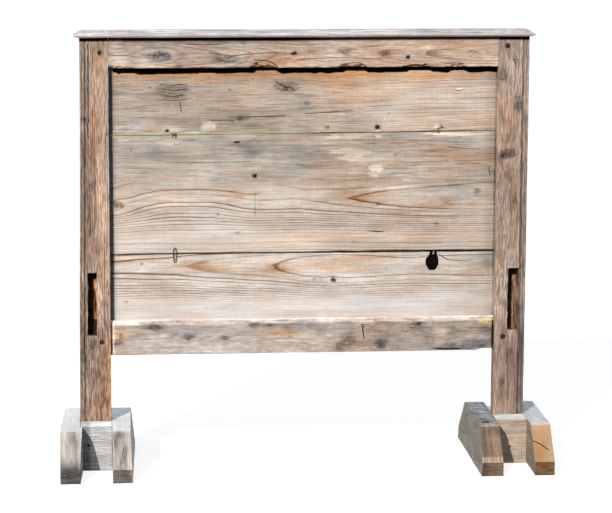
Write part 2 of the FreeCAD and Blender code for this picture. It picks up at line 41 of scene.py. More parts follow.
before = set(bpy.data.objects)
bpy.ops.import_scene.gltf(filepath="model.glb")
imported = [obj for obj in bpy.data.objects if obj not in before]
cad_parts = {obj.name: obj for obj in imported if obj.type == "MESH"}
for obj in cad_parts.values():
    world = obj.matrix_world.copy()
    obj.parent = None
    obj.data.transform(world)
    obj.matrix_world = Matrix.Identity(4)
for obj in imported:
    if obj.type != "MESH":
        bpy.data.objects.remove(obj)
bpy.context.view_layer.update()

METRE = 1000.0
SIDES = {"left": -1, "right": 1}
GRAIN_AXES = {"x": (0, 2, 1), "y": (1, 0, 2), "z": (2, 0, 1)}  # along the grain, across it, inward
FAR = 99.0  # further than anything that is looked for near a vertex
OPENING = (-584.6, 584.6)  # ends of the rails and boards that the visual model shows

# what a vertex says where nothing marks it
PLAIN_MARKS = {
    "tone": 0, "warm": 0, "knot": 4, "heart": 0, "crack": 9, "split": 0, "moss": 0, "lines": 1,
    "hairs": 0.3, "chip": 20, "calm": 0,
}  # fmt: skip


# ---------------------------------------------------------------- noise


def cell_values(cells, seed):
    """A fixed number from -1 to 1 for each whole-numbered cell."""
    mixed = np.full(len(cells), (seed * 0x9E3779B97F4A7C15) % 2**64, dtype=np.uint64)
    primes = (0x8DA6B343, 0xD8163841, 0xCB1AB31F)
    with np.errstate(over="ignore"):
        for column, prime in zip(cells.T, primes):
            mixed ^= column.astype(np.int64).astype(np.uint64) * np.uint64(prime)
            mixed = (mixed ^ (mixed >> np.uint64(33))) * np.uint64(0xFF51AFD7ED558CCD)
            mixed ^= mixed >> np.uint64(29)
    return mixed.astype(float) / 2.0**63 - 1.0


def noise(places, size, seed, octaves=1):
    """Smooth noise from -1 to 1.  size is the width of its bumps, one number or one per axis."""
    places = np.atleast_2d(np.asarray(places, dtype=float).T).T / np.asarray(size, dtype=float)
    total = np.zeros(len(places))
    strength = 1.0
    for octave in range(octaves):
        cells = np.floor(places)
        part = places - cells
        part = part * part * (3 - 2 * part)
        for corner in itertools.product((0, 1), repeat=places.shape[1]):
            weight = np.ones(len(places))
            for axis, step in enumerate(corner):
                weight *= part[:, axis] if step else 1 - part[:, axis]
            total += strength * weight * cell_values(cells + corner, seed + octave)
        places = places * 2.03 + 7.7
        strength /= 2
    return total


def flat_noise(first, second, size, seed, octaves=1):
    """Noise over two coordinates, the second of which may be one number."""
    places = np.stack([first, np.broadcast_to(second, first.shape)], axis=1)
    return noise(places, size, seed, octaves)


def ramp(values, start, end):
    """0 before start and 1 after end, smooth between.  Start may be the larger."""
    part = np.clip((values - start) / (end - start), 0, 1)
    return part * part * (3 - 2 * part)


def bell(distance):
    return np.exp(-(distance**2))


# ---------------------------------------------------------------- the shell of a timber


def lattice_lines(low, high, step, extra=()):
    """Places of lattice lines from low to high, closer near both edges and at the extra places."""
    closest = 0.19
    count = max(2, round((high - low) / step))
    lines = list(np.linspace(low, high, count + 1))
    for inset in (0.4, 0.9, 1.6, 2.5):
        lines += [low + inset, high - inset]
    extra = sorted(place for place in extra if low < place < high)
    kept = [low]
    for line in sorted(lines[1:] + extra):
        if line - kept[-1] > closest or line == high:
            kept.append(line)
    return np.array([line for line in kept if line == high or high - line > closest])


def lattice_shell(xs, ys, zs):
    """Points and quads of the outside of a box lattice, all quads facing out."""
    shape = (len(xs), len(ys), len(zs))
    i, j, k = np.indices(shape)
    outside = np.zeros(shape, dtype=bool)
    for steps, count in zip((i, j, k), shape):
        outside |= (steps == 0) | (steps == count - 1)
    index = np.full(shape, -1)
    index[outside] = np.arange(outside.sum())
    points = np.stack([xs[i[outside]], ys[j[outside]], zs[k[outside]]], axis=1)
    quads = []
    for axis in range(3):
        for end in (0, -1):
            sheet = np.take(index, end, axis=axis)
            corners = [sheet[:-1, :-1], sheet[1:, :-1], sheet[1:, 1:], sheet[:-1, 1:]]
            faces = np.stack(corners, axis=-1).reshape(-1, 4)
            if (end == 0) == (axis != 1):
                faces = faces[:, ::-1]
            quads.append(faces)
    return points, np.concatenate(quads)


def new_marks(count, **levels):
    """The numbers that the shader reads, one array of each kind."""
    levels = {**PLAIN_MARKS, **levels}
    arrays = {name: np.full(count, float(level)) for name, level in levels.items()}
    return SimpleNamespace(**arrays)


class Timber:
    """A timber in millimetres.  base keeps the plain box, points are worked on.

    span_x is its length where that isn't the CAD node's, and x, y and z give more lattice places
    along those axes."""

    def __init__(self, node, seed, steps=(4, 4, 4), grain="x", span_x=None, **extra):
        self.node = node
        self.seed = seed
        self.grain = grain
        self.low, self.high = (np.array(corner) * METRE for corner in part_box(node))
        if span_x is not None:
            self.low[0], self.high[0] = span_x
        self.size = self.high - self.low
        self.middle = (self.low[0] + self.high[0]) / 2
        ends = zip(self.low, self.high, steps, (extra.get(axis, ()) for axis in "xyz"))
        self.base, self.quads = lattice_shell(*[lattice_lines(*end) for end in ends])
        self.x, self.y, self.z = self.base.T
        self.bend = 0.0
        self.points = self.base.copy()
        self.marks = new_marks(len(self.base))
        self.front = self.face("y", -1)

    def noise(self, size, offset, octaves=1):
        """Noise over the timber, with one size along the grain and one across.

        The offset keeps the noises of different uses apart."""
        along, across = size
        sizes = [across, across, across]
        sizes["xyz".index(self.grain)] = along
        return noise(self.base, sizes, self.seed * 31 + offset, octaves)

    def soften(self, radius, variation, depth, size):
        """Rounds every edge, more here and less there, and sinks the surface a little."""
        radii = radius * (1 + variation * self.noise((55, 18), 1, 2))
        radii = np.clip(radii, 0.3, self.size.min() * 0.45)[:, None]
        inner = np.clip(self.base, self.low + radii, self.high - radii)
        offset = self.base - inner
        length = np.maximum(np.linalg.norm(offset, axis=1, keepdims=True), 1e-9)
        normal = offset / length
        self.points = inner + normal * np.minimum(radii, length)
        sunk = depth * (0.5 + 0.5 * self.noise(size, 2, 3))
        self.points -= normal * np.clip(sunk, 0, None)[:, None]

    def face(self, axis, end):
        """1 on the box's low (-1) or high (1) face across that axis, 0 elsewhere."""
        column = "xyz".index(axis)
        limit = self.high[column] if end > 0 else self.low[column]
        return (np.abs(self.base[:, column] - limit) < 1e-6).astype(float)

    def recess(self, depth):
        """Pushes the front back by depth, and squeezes what is behind it."""
        share = (self.high[1] - self.points[:, 1]) / self.size[1]
        self.points[:, 1] += depth * np.clip(share, 0, 1)

    def cut_corner(self, end_z, size):
        """Cuts a long front corner off at 45 degrees; size may differ from vertex to vertex."""
        y_gap = self.points[:, 1] - self.low[1]
        z_gap = end_z * ((self.low if end_z < 0 else self.high)[2] - self.points[:, 2])
        over = np.clip(size - y_gap - z_gap, 0, None) / 2
        self.points[:, 1] += over
        self.points[:, 2] -= end_z * over
        return over

    def apply_features(self):
        """Marks the knots, cracks, patches and chips that FEATURES gives for the front."""
        x, z, marks, features = self.x, self.z, self.marks, FEATURES[self.node]
        swirl = 1 + 0.34 * flat_noise(x, z, (13, 6), self.seed + 5, 3)
        for knot_x, knot_z, wide, high, *bold in features["knots"]:
            distance = np.hypot((x - knot_x) / wide, (z - knot_z) / high) * swirl
            closer = distance < marks.knot
            marks.knot[closer] = distance[closer]
            marks.heart[closer] = bold[0] if bold else 0.32
        nearest = np.full(len(x), FAR)
        for width, strength, *places in features["cracks"]:
            away = crack_distance(x, z, list(zip(places[::2], places[1::2])))
            closer = np.abs(away) < nearest
            nearest[closer] = np.abs(away[closer])
            marks.crack[closer] = away[closer] / (width * 1.5)
            marks.split[closer] = (ramp(nearest, *CRACK_REACH) * strength)[closer]
        for patch_x, patch_z, wide, high, tone, warm in features["patches"]:
            distance = np.hypot((x - patch_x) / wide, (z - patch_z) / high)
            distance *= 1 + 0.45 * flat_noise(x, z, (wide * 0.7, high * 0.7), self.seed + 6, 2)
            weight = np.exp(-(distance**2) * 0.9)
            marks.tone += tone * weight
            marks.warm += warm * weight
        for chip_x, chip_z, wide, high in features.get("chips", ()):
            ragged = flat_noise(x, z, (wide * 0.5, high * 0.6), self.seed + 7, 3)
            away = (np.hypot((x - chip_x) / wide, (z - chip_z) / high) - 1 + 0.3 * ragged) * high
            marks.chip = np.minimum(marks.chip, away)
        self.recess(1.4 * ramp(marks.chip, 0.8, -1.6))


def crack_distance(x, z, line):
    """Signed distance to a crack's line, larger beyond its ends so that they taper."""
    best = np.full(len(x), FAR)
    for (start_x, start_z), (end_x, end_z) in zip(line, line[1:]):
        length = math.hypot(end_x - start_x, end_z - start_z)
        along = ((x - start_x) * (end_x - start_x) + (z - start_z) * (end_z - start_z)) / length
        side = ((x - start_x) * (end_z - start_z) - (z - start_z) * (end_x - start_x)) / length
        beyond = np.maximum(np.maximum(-along, along - length), 0)
        distance = np.hypot(side, beyond) * np.where(side < 0, -1, 1)
        closer = np.abs(distance) < np.abs(best)
        best[closer] = distance[closer]
    return best


# ---------------------------------------------------------------- knots, cracks and stains


CRACK_REACH = (7.5, 4.7)  # a crack's mark fades out between these distances from its line

# Places are x and z on the front.  A knot has its two radii and, if it stands out, how dark its
# heart is.  A crack has its width, its strength and the points it runs through.  A patch has its
# two reaches, how much paler it is than the rest, and how much more orange.  A chip has its two
# radii.
FEATURES = {
    "upper_board": {
        "knots": [
            (-462, 1148, 6, 4), (-411, 1017, 5.5, 4.5, 1), (69, 1020, 5, 4.5, 0.6),
            (223, 1020, 6, 5.5, 1), (11, 1095, 7, 6, 0.3), (-192, 1050, 7, 5, 0.4),
            (-222, 1139, 4, 3), (257, 1062, 4, 2), (413, 1023, 3, 3), (-52, 1147, 30, 13, 0.42),
            (-400, 1140, 40, 24, 0.2), (418, 1017, 5, 4, 0.8),
        ],
        "cracks": [
            (0.9, 1, -198, 1056, -126, 1057, -60, 1058), (0.7, 1, -279, 1046, -216, 1047),
            (0.8, 1, 9, 1064, 79, 1068, 142, 1072), (1, 1, -372, 1102, -367, 1075),
            (0.7, 1, -431, 1159, -401, 1153, -353, 1159),
            (0.7, 1, -425, 1144, -386, 1138, -347, 1144),
            (0.7, 1, -437, 1130, -395, 1120, -359, 1126),
            (0.6, 1, -425, 1112, -386, 1108, -342, 1114), (1.2, 1, -84, 1162, -74, 1155),
            (1.2, 1, -71, 1156, -62, 1148), (1.1, 1, -58, 1150, -49, 1143),
            (1.1, 1, -44, 1147, -33, 1140), (0.8, 1, -62, 1141, -53, 1137),
            (0.8, 1, 460, 1132, 472, 1131, 481, 1134),
        ],
        "patches": [
            (-288, 1030, 24, 15, 0.3, -0.3), (-515, 1031, 42, 16, 0.34, -0.7),
            (-392, 1021, 24, 8, 0.3, -0.3), (-434, 1024, 14, 9, 0, 0.7),
            (-399, 1004, 5, 5, -0.7, 0), (396, 1004, 12, 3, -0.6, 0),
            (-371, 1183, 214, 21, -0.05, 0.8), (108, 1178, 184, 21, 0, 0.9),
            (380, 1176, 107, 18, 0, 0.7), (532, 1154, 49, 37, 0.05, -0.4),
            (-395, 1132, 46, 28, -0.12, -0.3), (-54, 1145, 31, 15, -0.25, -0.5),
            (-192, 1053, 24, 12, -0.35, -0.4), (-237, 1056, 107, 24, -0.15, -0.2),
            (-102, 1074, 92, 31, -0.1, -0.1), (3, 1097, 24, 28, -0.18, -0.4),
            (145, 1108, 107, 37, 0.22, 0.3), (60, 1162, 170, 20, 0.06, 0),
            (400, 1183, 120, 10, -0.06, 0), (500, 1182, 80, 12, -0.14, 0),
            (-505, 1118, 60, 34, 0.08, 0.1), (-370, 1048, 75, 32, -0.16, 0),
            (-210, 1040, 85, 34, -0.1, 0), (472, 1137, 9, 5, 0.5, 0),
            (442, 1076, 122, 43, 0.08, -0.2), (-520, 1100, 61, 37, 0, -0.2),
        ],
        "chips": [
            (-288, 1031, 21, 13), (-340, 1013, 30, 5), (472, 1138, 7, 2), (399, 1022, 8, 6),
            (432, 1008, 14, 4), (226, 1010, 9, 3),
        ],
    },
    "middle_board": {
        "knots": [
            (-203, 990, 8, 2.6, 0.9), (-150, 884, 5.5, 5, 1), (-328, 881, 3, 2),
            (-561, 800, 12, 10, 0.6), (529, 829, 8, 6, 0.5), (223, 792, 4, 4), (404, 729, 5, 5),
            (-198, 709, 6, 3), (-259, 766, 3, 5), (279, 943, 4, 3), (-519, 968, 3, 5),
            (320, 668, 3, 3), (154, 679, 3, 2),
        ],
        "cracks": [
            (0.7, 0.55, 312, 988, 382, 986, 443, 985), (0.8, 0.6, 444, 964, 489, 960, 529, 959),
            (1.3, 1, 202, 710, 224, 707, 245, 709), (0.6, 0.5, -11, 841, 110, 843, 183, 844),
            (0.45, 1, -147, 832, -147, 798, -146, 765), (0.4, 1, -402, 931, -282, 928, -162, 929),
            (0.8, 1, 564, 899, 566, 880),
        ],
        "patches": [
            (219, 902, 28, 21, 0.25, 0.1), (158, 893, 18, 12, 0.2, 0),
            (486, 1006, 92, 9, 0.35, -0.2), (-156, 962, 40, 24, -0.28, -0.6),
            (209, 981, 21, 9, -0.12, -0.6), (-206, 836, 34, 8, -0.22, 0.9),
            (-190, 824, 14, 8, -0.2, 0.7), (-412, 845, 28, 4, -0.14, 0.7),
            (-375, 905, 75, 100, -0.12, 0.05), (-500, 848, 60, 44, -0.11, -0.05),
            (-35, 885, 90, 90, -0.16, 0), (-215, 850, 80, 22, -0.1, -0.1),
            (500, 985, 80, 22, -0.12, -0.5), (-562, 802, 12, 10, -0.15, 1),
            (512, 825, 80, 40, -0.2, 0), (230, 862, 170, 26, -0.08, 0.1),
            (-470, 765, 140, 28, 0.1, -0.1), (-110, 705, 150, 14, -0.13, 0),
            (277, 843, 55, 6, 0.4, -0.2), (-462, 962, 61, 24, -0.1, -0.2),
            (-11, 943, 67, 31, -0.14, -0.3), (352, 955, 138, 37, -0.1, 0.15),
            (506, 887, 80, 37, -0.1, 0.1), (-313, 900, 184, 24, 0.1, -0.1),
            (-553, 817, 18, 24, -0.1, 0.3), (-11, 690, 153, 15, 0.08, 0.55),
            (294, 693, 122, 15, 0.04, 0.5), (-373, 700, 184, 18, 0.06, 0.1),
            (168, 816, 46, 10, -0.14, 1.2), (436, 796, 24, 9, -0.24, 1.3),
            (500, 789, 64, 4, -0.24, 0.9), (545, 815, 30, 6, -0.1, 0.9),
            (-403, 813, 107, 12, 0.1, 0.25), (415, 827, 92, 18, 0, -0.2),
        ],
        "chips": [
            (-408, 996, 44, 10), (-540, 1002, 24, 3), (140, 956, 52, 11), (134, 938, 36, 10),
            (90, 1002, 24, 4), (226, 1004, 10, 6), (470, 1006, 90, 4), (218, 905, 22, 14),
            (222, 884, 18, 5), (286, 883, 18, 4), (315, 868, 12, 3),
        ],
    },
    "lower_board": {
        "knots": [
            (-488, 617, 6, 3), (92, 560, 7.5, 6.5, 0.85), (34, 565, 4, 3), (-537, 500, 6, 3),
            (104, 432, 3, 2),
        ],
        "cracks": [
            (1.2, 1, 414, 634, 427, 626, 442, 619), (0.6, 1, 442, 619, 479, 615, 516, 616),
        ],
        "patches": [
            (-346, 610, 44, 6, -0.2, 1.3), (-300, 602, 62, 9, -0.22, 1.3),
            (-238, 592, 34, 5, -0.2, 1.1), (-92, 600, 26, 11, -0.3, 1.5),
            (-60, 590, 34, 5, -0.18, 1), (-470, 590, 110, 34, 0.08, -0.1),
            (520, 550, 64, 80, -0.16, 0), (540, 462, 70, 20, -0.2, 0),
            (230, 458, 190, 16, -0.12, 0), (-110, 456, 160, 14, -0.1, 0),
            (240, 520, 170, 22, 0.06, 0), (112, 592, 84, 12, -0.06, 1.1),
            (30, 607, 90, 6, -0.02, 0.8), (446, 597, 30, 7, -0.12, 1.1),
            (535, 610, 49, 21, -0.22, -0.1), (541, 585, 43, 12, -0.05, 0.7),
            (-314, 472, 275, 31, 0.14, -0.35), (296, 479, 245, 31, 0.1, -0.3),
            (512, 467, 67, 24, -0.08, 0.25), (143, 497, 184, 24, 0.08, -0.3),
            (356, 606, 31, 15, 0.1, -0.1), (-494, 619, 55, 18, 0.1, -0.1),
            (-162, 630, 92, 12, 0.1, 0), (173, 629, 92, 8, 0.02, 0.7), (-524, 634, 43, 6, 0, 0.6),
        ],
    },
    "top_rail": {
        "knots": [
            (-428, 1245, 26, 14, 0.36), (-232, 1234, 28, 12, 0.34), (-33, 1252, 7.5, 4.5, 1),
            (310, 1240, 6.5, 5.5, 1), (-185, 1283, 7, 4), (114, 1261, 15, 7, 0.16),
            (240, 1251, 18, 8, 0.16), (382, 1252, 15, 7, 0.16), (507, 1251, 15, 7, 0.16),
            (-372, 1217, 9, 5),
        ],
        "cracks": [
            (0.7, 1, -573, 1246, -543, 1247, -508, 1244),
            (0.8, 1, -354, 1280, -297, 1277, -253, 1280),
            (0.6, 1, -283, 1253, -217, 1244, -128, 1253, -44, 1252),
            (0.6, 1, -14, 1234, 105, 1238, 226, 1233),
            (1.1, 1, -149, 1232, -116, 1230, -98, 1224, -83, 1214),
            (1.1, 1, -146, 1220, -128, 1214), (0.8, 1, 106, 1216, 142, 1223, 169, 1222, 187, 1209),
            (0.9, 1, 295, 1212, 340, 1212, 370, 1218), (0.8, 1, 419, 1217, 449, 1221, 482, 1217),
            (0.5, 0.8, 232, 1258, 219, 1250, 233, 1243),
            (0.5, 0.8, 243, 1259, 229, 1251, 245, 1243),
            (0.5, 0.8, 254, 1258, 241, 1251, 256, 1244),
            (0.5, 0.8, 96, 1256, 104, 1262, 112, 1256, 122, 1263, 132, 1258),
            (0.5, 0.7, 100, 1250, 112, 1252, 124, 1249),
            (0.5, 0.7, 366, 1257, 373, 1250, 366, 1244),
            (0.5, 0.8, 492, 1254, 502, 1258, 512, 1252, 522, 1256),
            (0.8, 0.8, -455, 1246, -442, 1250), (0.8, 0.8, -442, 1243, -431, 1248),
            (0.9, 0.8, -432, 1252, -424, 1244), (0.8, 0.8, -424, 1254, -415, 1247),
            (0.8, 0.8, -420, 1240, -409, 1243), (0.8, 0.6, -409, 1252, -402, 1241, -408, 1233),
            (0.6, 0.7, -264, 1236, -246, 1238), (0.8, 0.8, -251, 1230, -232, 1232),
            (0.7, 0.7, -238, 1241, -222, 1240), (0.8, 0.8, -227, 1227, -207, 1229),
        ],
        "patches": [
            (-223, 1287, 245, 8, -0.2, -0.8), (-560, 1258, 22, 43, 0.55, -0.5),
            (-431, 1245, 37, 18, -0.2, -0.9), (-232, 1232, 37, 15, -0.15, -0.8),
            (-193, 1256, 61, 18, 0.05, -0.3), (-44, 1225, 92, 15, 0.08, 0.4),
            (-128, 1223, 37, 12, -0.1, 0.4), (142, 1219, 40, 11, 0.02, 0.4),
            (337, 1215, 43, 9, 0.1, 0.5), (452, 1216, 34, 9, 0.05, 0.5),
            (285, 1275, 184, 15, -0.05, 0.2), (135, 1260, 153, 24, -0.02, 0.3),
            (-490, 1219, 92, 9, 0.15, 0.4), (-283, 1215, 122, 9, 0.12, 0.4),
            (497, 1253, 61, 24, 0, 0.3), (301, 1242, 15, 12, -0.15, -0.6),
        ],
    },
    "bottom_rail": {
        "knots": [
            (-448, 424, 15, 7, 0.5), (-552, 398, 6, 7), (-566, 377, 10, 7, 0.5),
            (-351, 391, 12, 7, 0.55), (-238, 387, 9, 6, 0.45), (-146, 425, 14, 6, 0.55),
            (142, 373, 18, 12, 0.45), (336, 420, 13, 8, 0.42), (237, 362, 12, 12, 0.45),
            (109, 351, 9, 12), (444, 345, 24, 4),
        ],
        "cracks": [
            (1.5, 1, 180, 422, 182, 403, 185, 381), (0.7, 0.45, -99, 401, -63, 396, -29, 387),
            (0.7, 0.45, -99, 382, -63, 384, -29, 387), (0.7, 0.4, 363, 400, 394, 391, 419, 381),
            (1.6, 1, 407, 345, 444, 343, 478, 344), (0.7, 0.5, 170, 418, 196, 424, 214, 408),
        ],
        "patches": [
            (-458, 430, 40, 9, -0.55, -0.3), (-430, 424, 20, 6, -0.1, 0.8),
            (-80, 424, 50, 8, -0.12, -0.6), (-351, 392, 26, 11, -0.42, 0.1),
            (-358, 389, 12, 6, -0.1, 1.2), (-236, 387, 15, 9, -0.38, 0.1),
            (-238, 386, 6, 5, 0, 1.1), (-555, 395, 9, 8, 0.05, 1.2), (-142, 424, 11, 6, 0.15, 1.4),
            (-36, 399, 40, 5, -0.04, 1.1), (352, 424, 12, 7, -0.35, -0.2),
            (540, 352, 36, 7, -0.25, -0.6), (-156, 430, 28, 9, -0.55, -0.3),
            (-110, 424, 40, 6, -0.3, -0.6), (-140, 421, 10, 5, 0.2, 1.3),
            (-315, 413, 184, 12, -0.15, -0.7), (-554, 398, 12, 12, -0.1, 0.8),
            (-566, 377, 18, 12, -0.2, 0.5), (-72, 394, 55, 15, 0.02, 0.7),
            (180, 419, 12, 6, -0.12, 0.9), (203, 408, 14, 6, -0.14, 1),
            (222, 399, 12, 6, -0.12, 0.7), (142, 373, 37, 21, -0.15, 0.2),
            (112, 354, 15, 18, -0.4, -0.6), (237, 365, 22, 18, -0.35, -0.8),
            (348, 418, 30, 13, -0.38, -0.3), (450, 356, 61, 12, -0.2, -0.5),
            (570, 390, 46, 60, -0.2, -0.1), (536, 364, 37, 21, -0.05, -0.7),
            (554, 426, 24, 8, 0.1, 0.2), (-224, 359, 92, 12, 0.1, -0.3),
            (-466, 369, 92, 15, 0.05, -0.1), (511, 402, 92, 15, -0.1, 0.1),
            (20, 377, 92, 24, 0, 0.1),
        ],
    },
    "left_post": {
        "knots": [
            (-639, 858, 7, 10), (-625, 664, 9, 9), (-590, 1013, 4, 4), (-641, 373, 9, 12),
            (-624, 280, 7, 7),
        ],
        "cracks": [
            (1.8, 0.9, -652, 1281, -653, 1115, -654, 1000),
            (0.9, 0.45, -654, 990, -654, 710, -656, 511),
            (0.8, 1, -648, 876, -648, 770, -647, 709), (0.6, 1, -632, 936, -630, 845, -633, 724),
            (0.5, 1, -602, 724, -602, 541, -602, 419), (0.7, 1, -639, 1085, -637, 1026, -641, 966),
        ],
        "patches": [
            (-614, 1240, 9, 9, 0.05, 0.9), (-593, 1278, 9, 8, -0.05, -0.8),
            (-632, 1234, 15, 61, -0.05, 0.5), (-609, 1175, 24, 61, 0.12, 0.15),
            (-658, 1056, 12, 275, -0.22, -0.2), (-640, 800, 14, 230, -0.2, 0.25),
            (-606, 780, 13, 230, 0.26, 0.12), (-616, 760, 34, 190, 0.03, 0.28),
            (-634, 1062, 12, 37, 0, 0.9), (-641, 966, 12, 61, -0.1, 0.9),
            (-599, 965, 15, 122, 0.05, 0), (-667, 512, 12, 184, -0.15, -0.1),
            (-604, 511, 15, 92, 0.05, 0.5), (-641, 376, 15, 15, -0.25, -0.9),
            (-627, 265, 28, 92, -0.06, 0.25), (-587.5, 264, 5, 125, 0.45, 1.5),
            (-625, 172, 28, 37, -0.02, 0.3), (-663, 296, 9, 122, -0.1, -0.2),
            (-668, 1080, 7, 9, 0.5, -1), (-657, 1068, 7, 12, 0.4, -1),
            (-666, 1058, 8, 7, -0.5, -0.8), (-594, 1090, 10, 26, 0.22, -0.7),
            (-625, 700, 16, 12, -0.1, -0.6), (-660, 1234, 6, 92, 0.1, -0.3),
        ],
    },
    "right_post": {
        "knots": [
            (644, 1099, 10, 18, 0.5), (598, 1183, 11, 15, 0.4), (619, 945, 22, 13, 0.42),
            (650, 1088, 6, 9), (632, 332, 8, 9), (612, 242, 6, 8), (642, 800, 9, 6),
            (613, 693, 4, 4),
        ],
        "cracks": [
            (1.4, 0.5, 627, 329, 630, 276, 631, 182), (0.9, 1, 628, 1234, 634, 1222),
            (0.8, 1, 637, 1240, 641, 1225), (0.8, 1, 634, 1219, 639, 1209),
            (0.6, 1, 626, 834, 630, 757, 628, 696), (1, 1, 606, 384, 615, 380),
        ],
        "patches": [
            (598, 1177, 14, 24, -0.12, -0.9), (615, 1271, 11, 9, -0.1, -0.4),
            (645, 1093, 12, 21, -0.3, -0.6), (612, 1063, 18, 80, 0.1, 0.45),
            (614, 944, 24, 13, -0.4, -0.7), (600, 938, 8, 10, -0.25, -0.6),
            (646, 924, 10, 26, 0.5, -0.9), (640, 962, 16, 8, 0.2, -0.7),
            (616, 849, 18, 92, -0.03, 0.2), (629, 819, 12, 61, -0.08, 0.3),
            (613, 665, 18, 61, 0.05, 0.1), (631, 376, 15, 21, 0.18, -0.1),
            (627, 260, 18, 92, -0.06, 0.35), (649, 244, 12, 92, -0.06, 0.1),
            (670, 275, 8, 138, -0.15, -0.4), (595, 277, 4, 138, 0.15, 0.5),
            (612, 242, 8, 12, -0.15, -0.8),
        ],
    },
}  # fmt: skip




# ---------------------------------------------------------------- growth rings


def smooth_curve(places, line, blur=22.0):
    """A soft curve through points given as (place, height)."""
    stops, heights = np.array(line, dtype=float).T
    steps = np.arange(stops[0] - 4 * blur, stops[-1] + 4 * blur, blur / 4)
    values = np.interp(steps, stops, heights)
    kernel = np.exp(-0.5 * (np.arange(-12, 13) / 4.0) ** 2)
    padded = np.pad(values, 12, mode="edge")
    return np.interp(places, steps, np.convolve(padded, kernel / kernel.sum(), mode="valid"))


def ring_radii(start, widths, then, count=90, seed=1):
    """Radii of the ring borders: the given widths first, then about `then` each."""
    rng = np.random.default_rng(seed)
    later = then * (0.6 + 0.8 * rng.random(count))
    return start + np.concatenate([[0], np.cumsum(np.concatenate([widths, later]))])


def grow_rings(timber, pith, depth, radii, wobble=2.0, axes=None, settle=None):
    """Numbers each vertex by its growth ring, round a pith line inside or behind the timber.

    pith gives the line's place across the face, and depth how far it lies behind the front.
    Its waves die down over the distance settle, if that is given.  The rings bend round knots."""
    along, across, inward = axes or GRAIN_AXES[timber.grain]
    a = timber.base[:, along].copy()
    b = timber.base[:, across].copy()
    c = timber.base[:, inward] - timber.low[inward]
    for knot in FEATURES.get(timber.node, {}).get("knots", ()):
        centres, radii_here = knot[:2], knot[2:4]
        if timber.grain == "z":
            centres, radii_here = centres[::-1], radii_here[::-1]
        distance = np.hypot(
            (a - centres[0]) / (radii_here[0] * 2.6), (b - centres[1]) / (radii_here[1] * 2.0)
        )
        b = b + (centres[1] - b) * (0.92 * bell(distance))
    b += wobble * timber.noise((170, 45), 11, 2)
    line = smooth_curve(a, pith)
    if settle is not None:
        level = np.mean([height for _, height in pith])
        line = level + (line - level) * bell((b - level) / settle)
    distance = np.hypot(b - line, c + smooth_curve(a, depth))
    # late wood is the outer part of a ring, and stays narrow where the ring is wide
    numbers = np.arange(len(radii) - 1)
    bands = radii[1:] - np.minimum(np.diff(radii) * 0.5, 4.2)
    borders = np.stack([radii[:-1], bands], 1).ravel()
    timber.ring = np.interp(distance, borders, np.stack([numbers, numbers + 0.5], 1).ravel())


# ---------------------------------------------------------------- materials


WHITE = (1.0, 1.0, 1.0, 1.0)
COOL_TINT = (0.80, 0.90, 1.05, 1.0)
WARM_TINT = (1.10, 0.84, 0.63, 1.0)


def srgb(red, green, blue):
    """A colour written as on a screen, 0 to 255, as Blender wants it."""

    def linear(part):
        part /= 255
        return part / 12.92 if part <= 0.04045 else ((part + 0.055) / 1.055) ** 2.4

    return (linear(red), linear(green), linear(blue), 1.0)


class Value:
    """A socket to reckon with: each sum, difference or product is a Math node."""

    def __init__(self, nodes, socket):
        self.nodes = nodes
        self.socket = socket

    def __add__(self, other):
        return self.nodes.math("ADD", self, other)

    def __sub__(self, other):
        return self.nodes.math("SUBTRACT", self, other)

    def __rsub__(self, other):
        return self.nodes.math("SUBTRACT", other, self)

    def __mul__(self, other):
        return self.nodes.math("MULTIPLY", self, other)


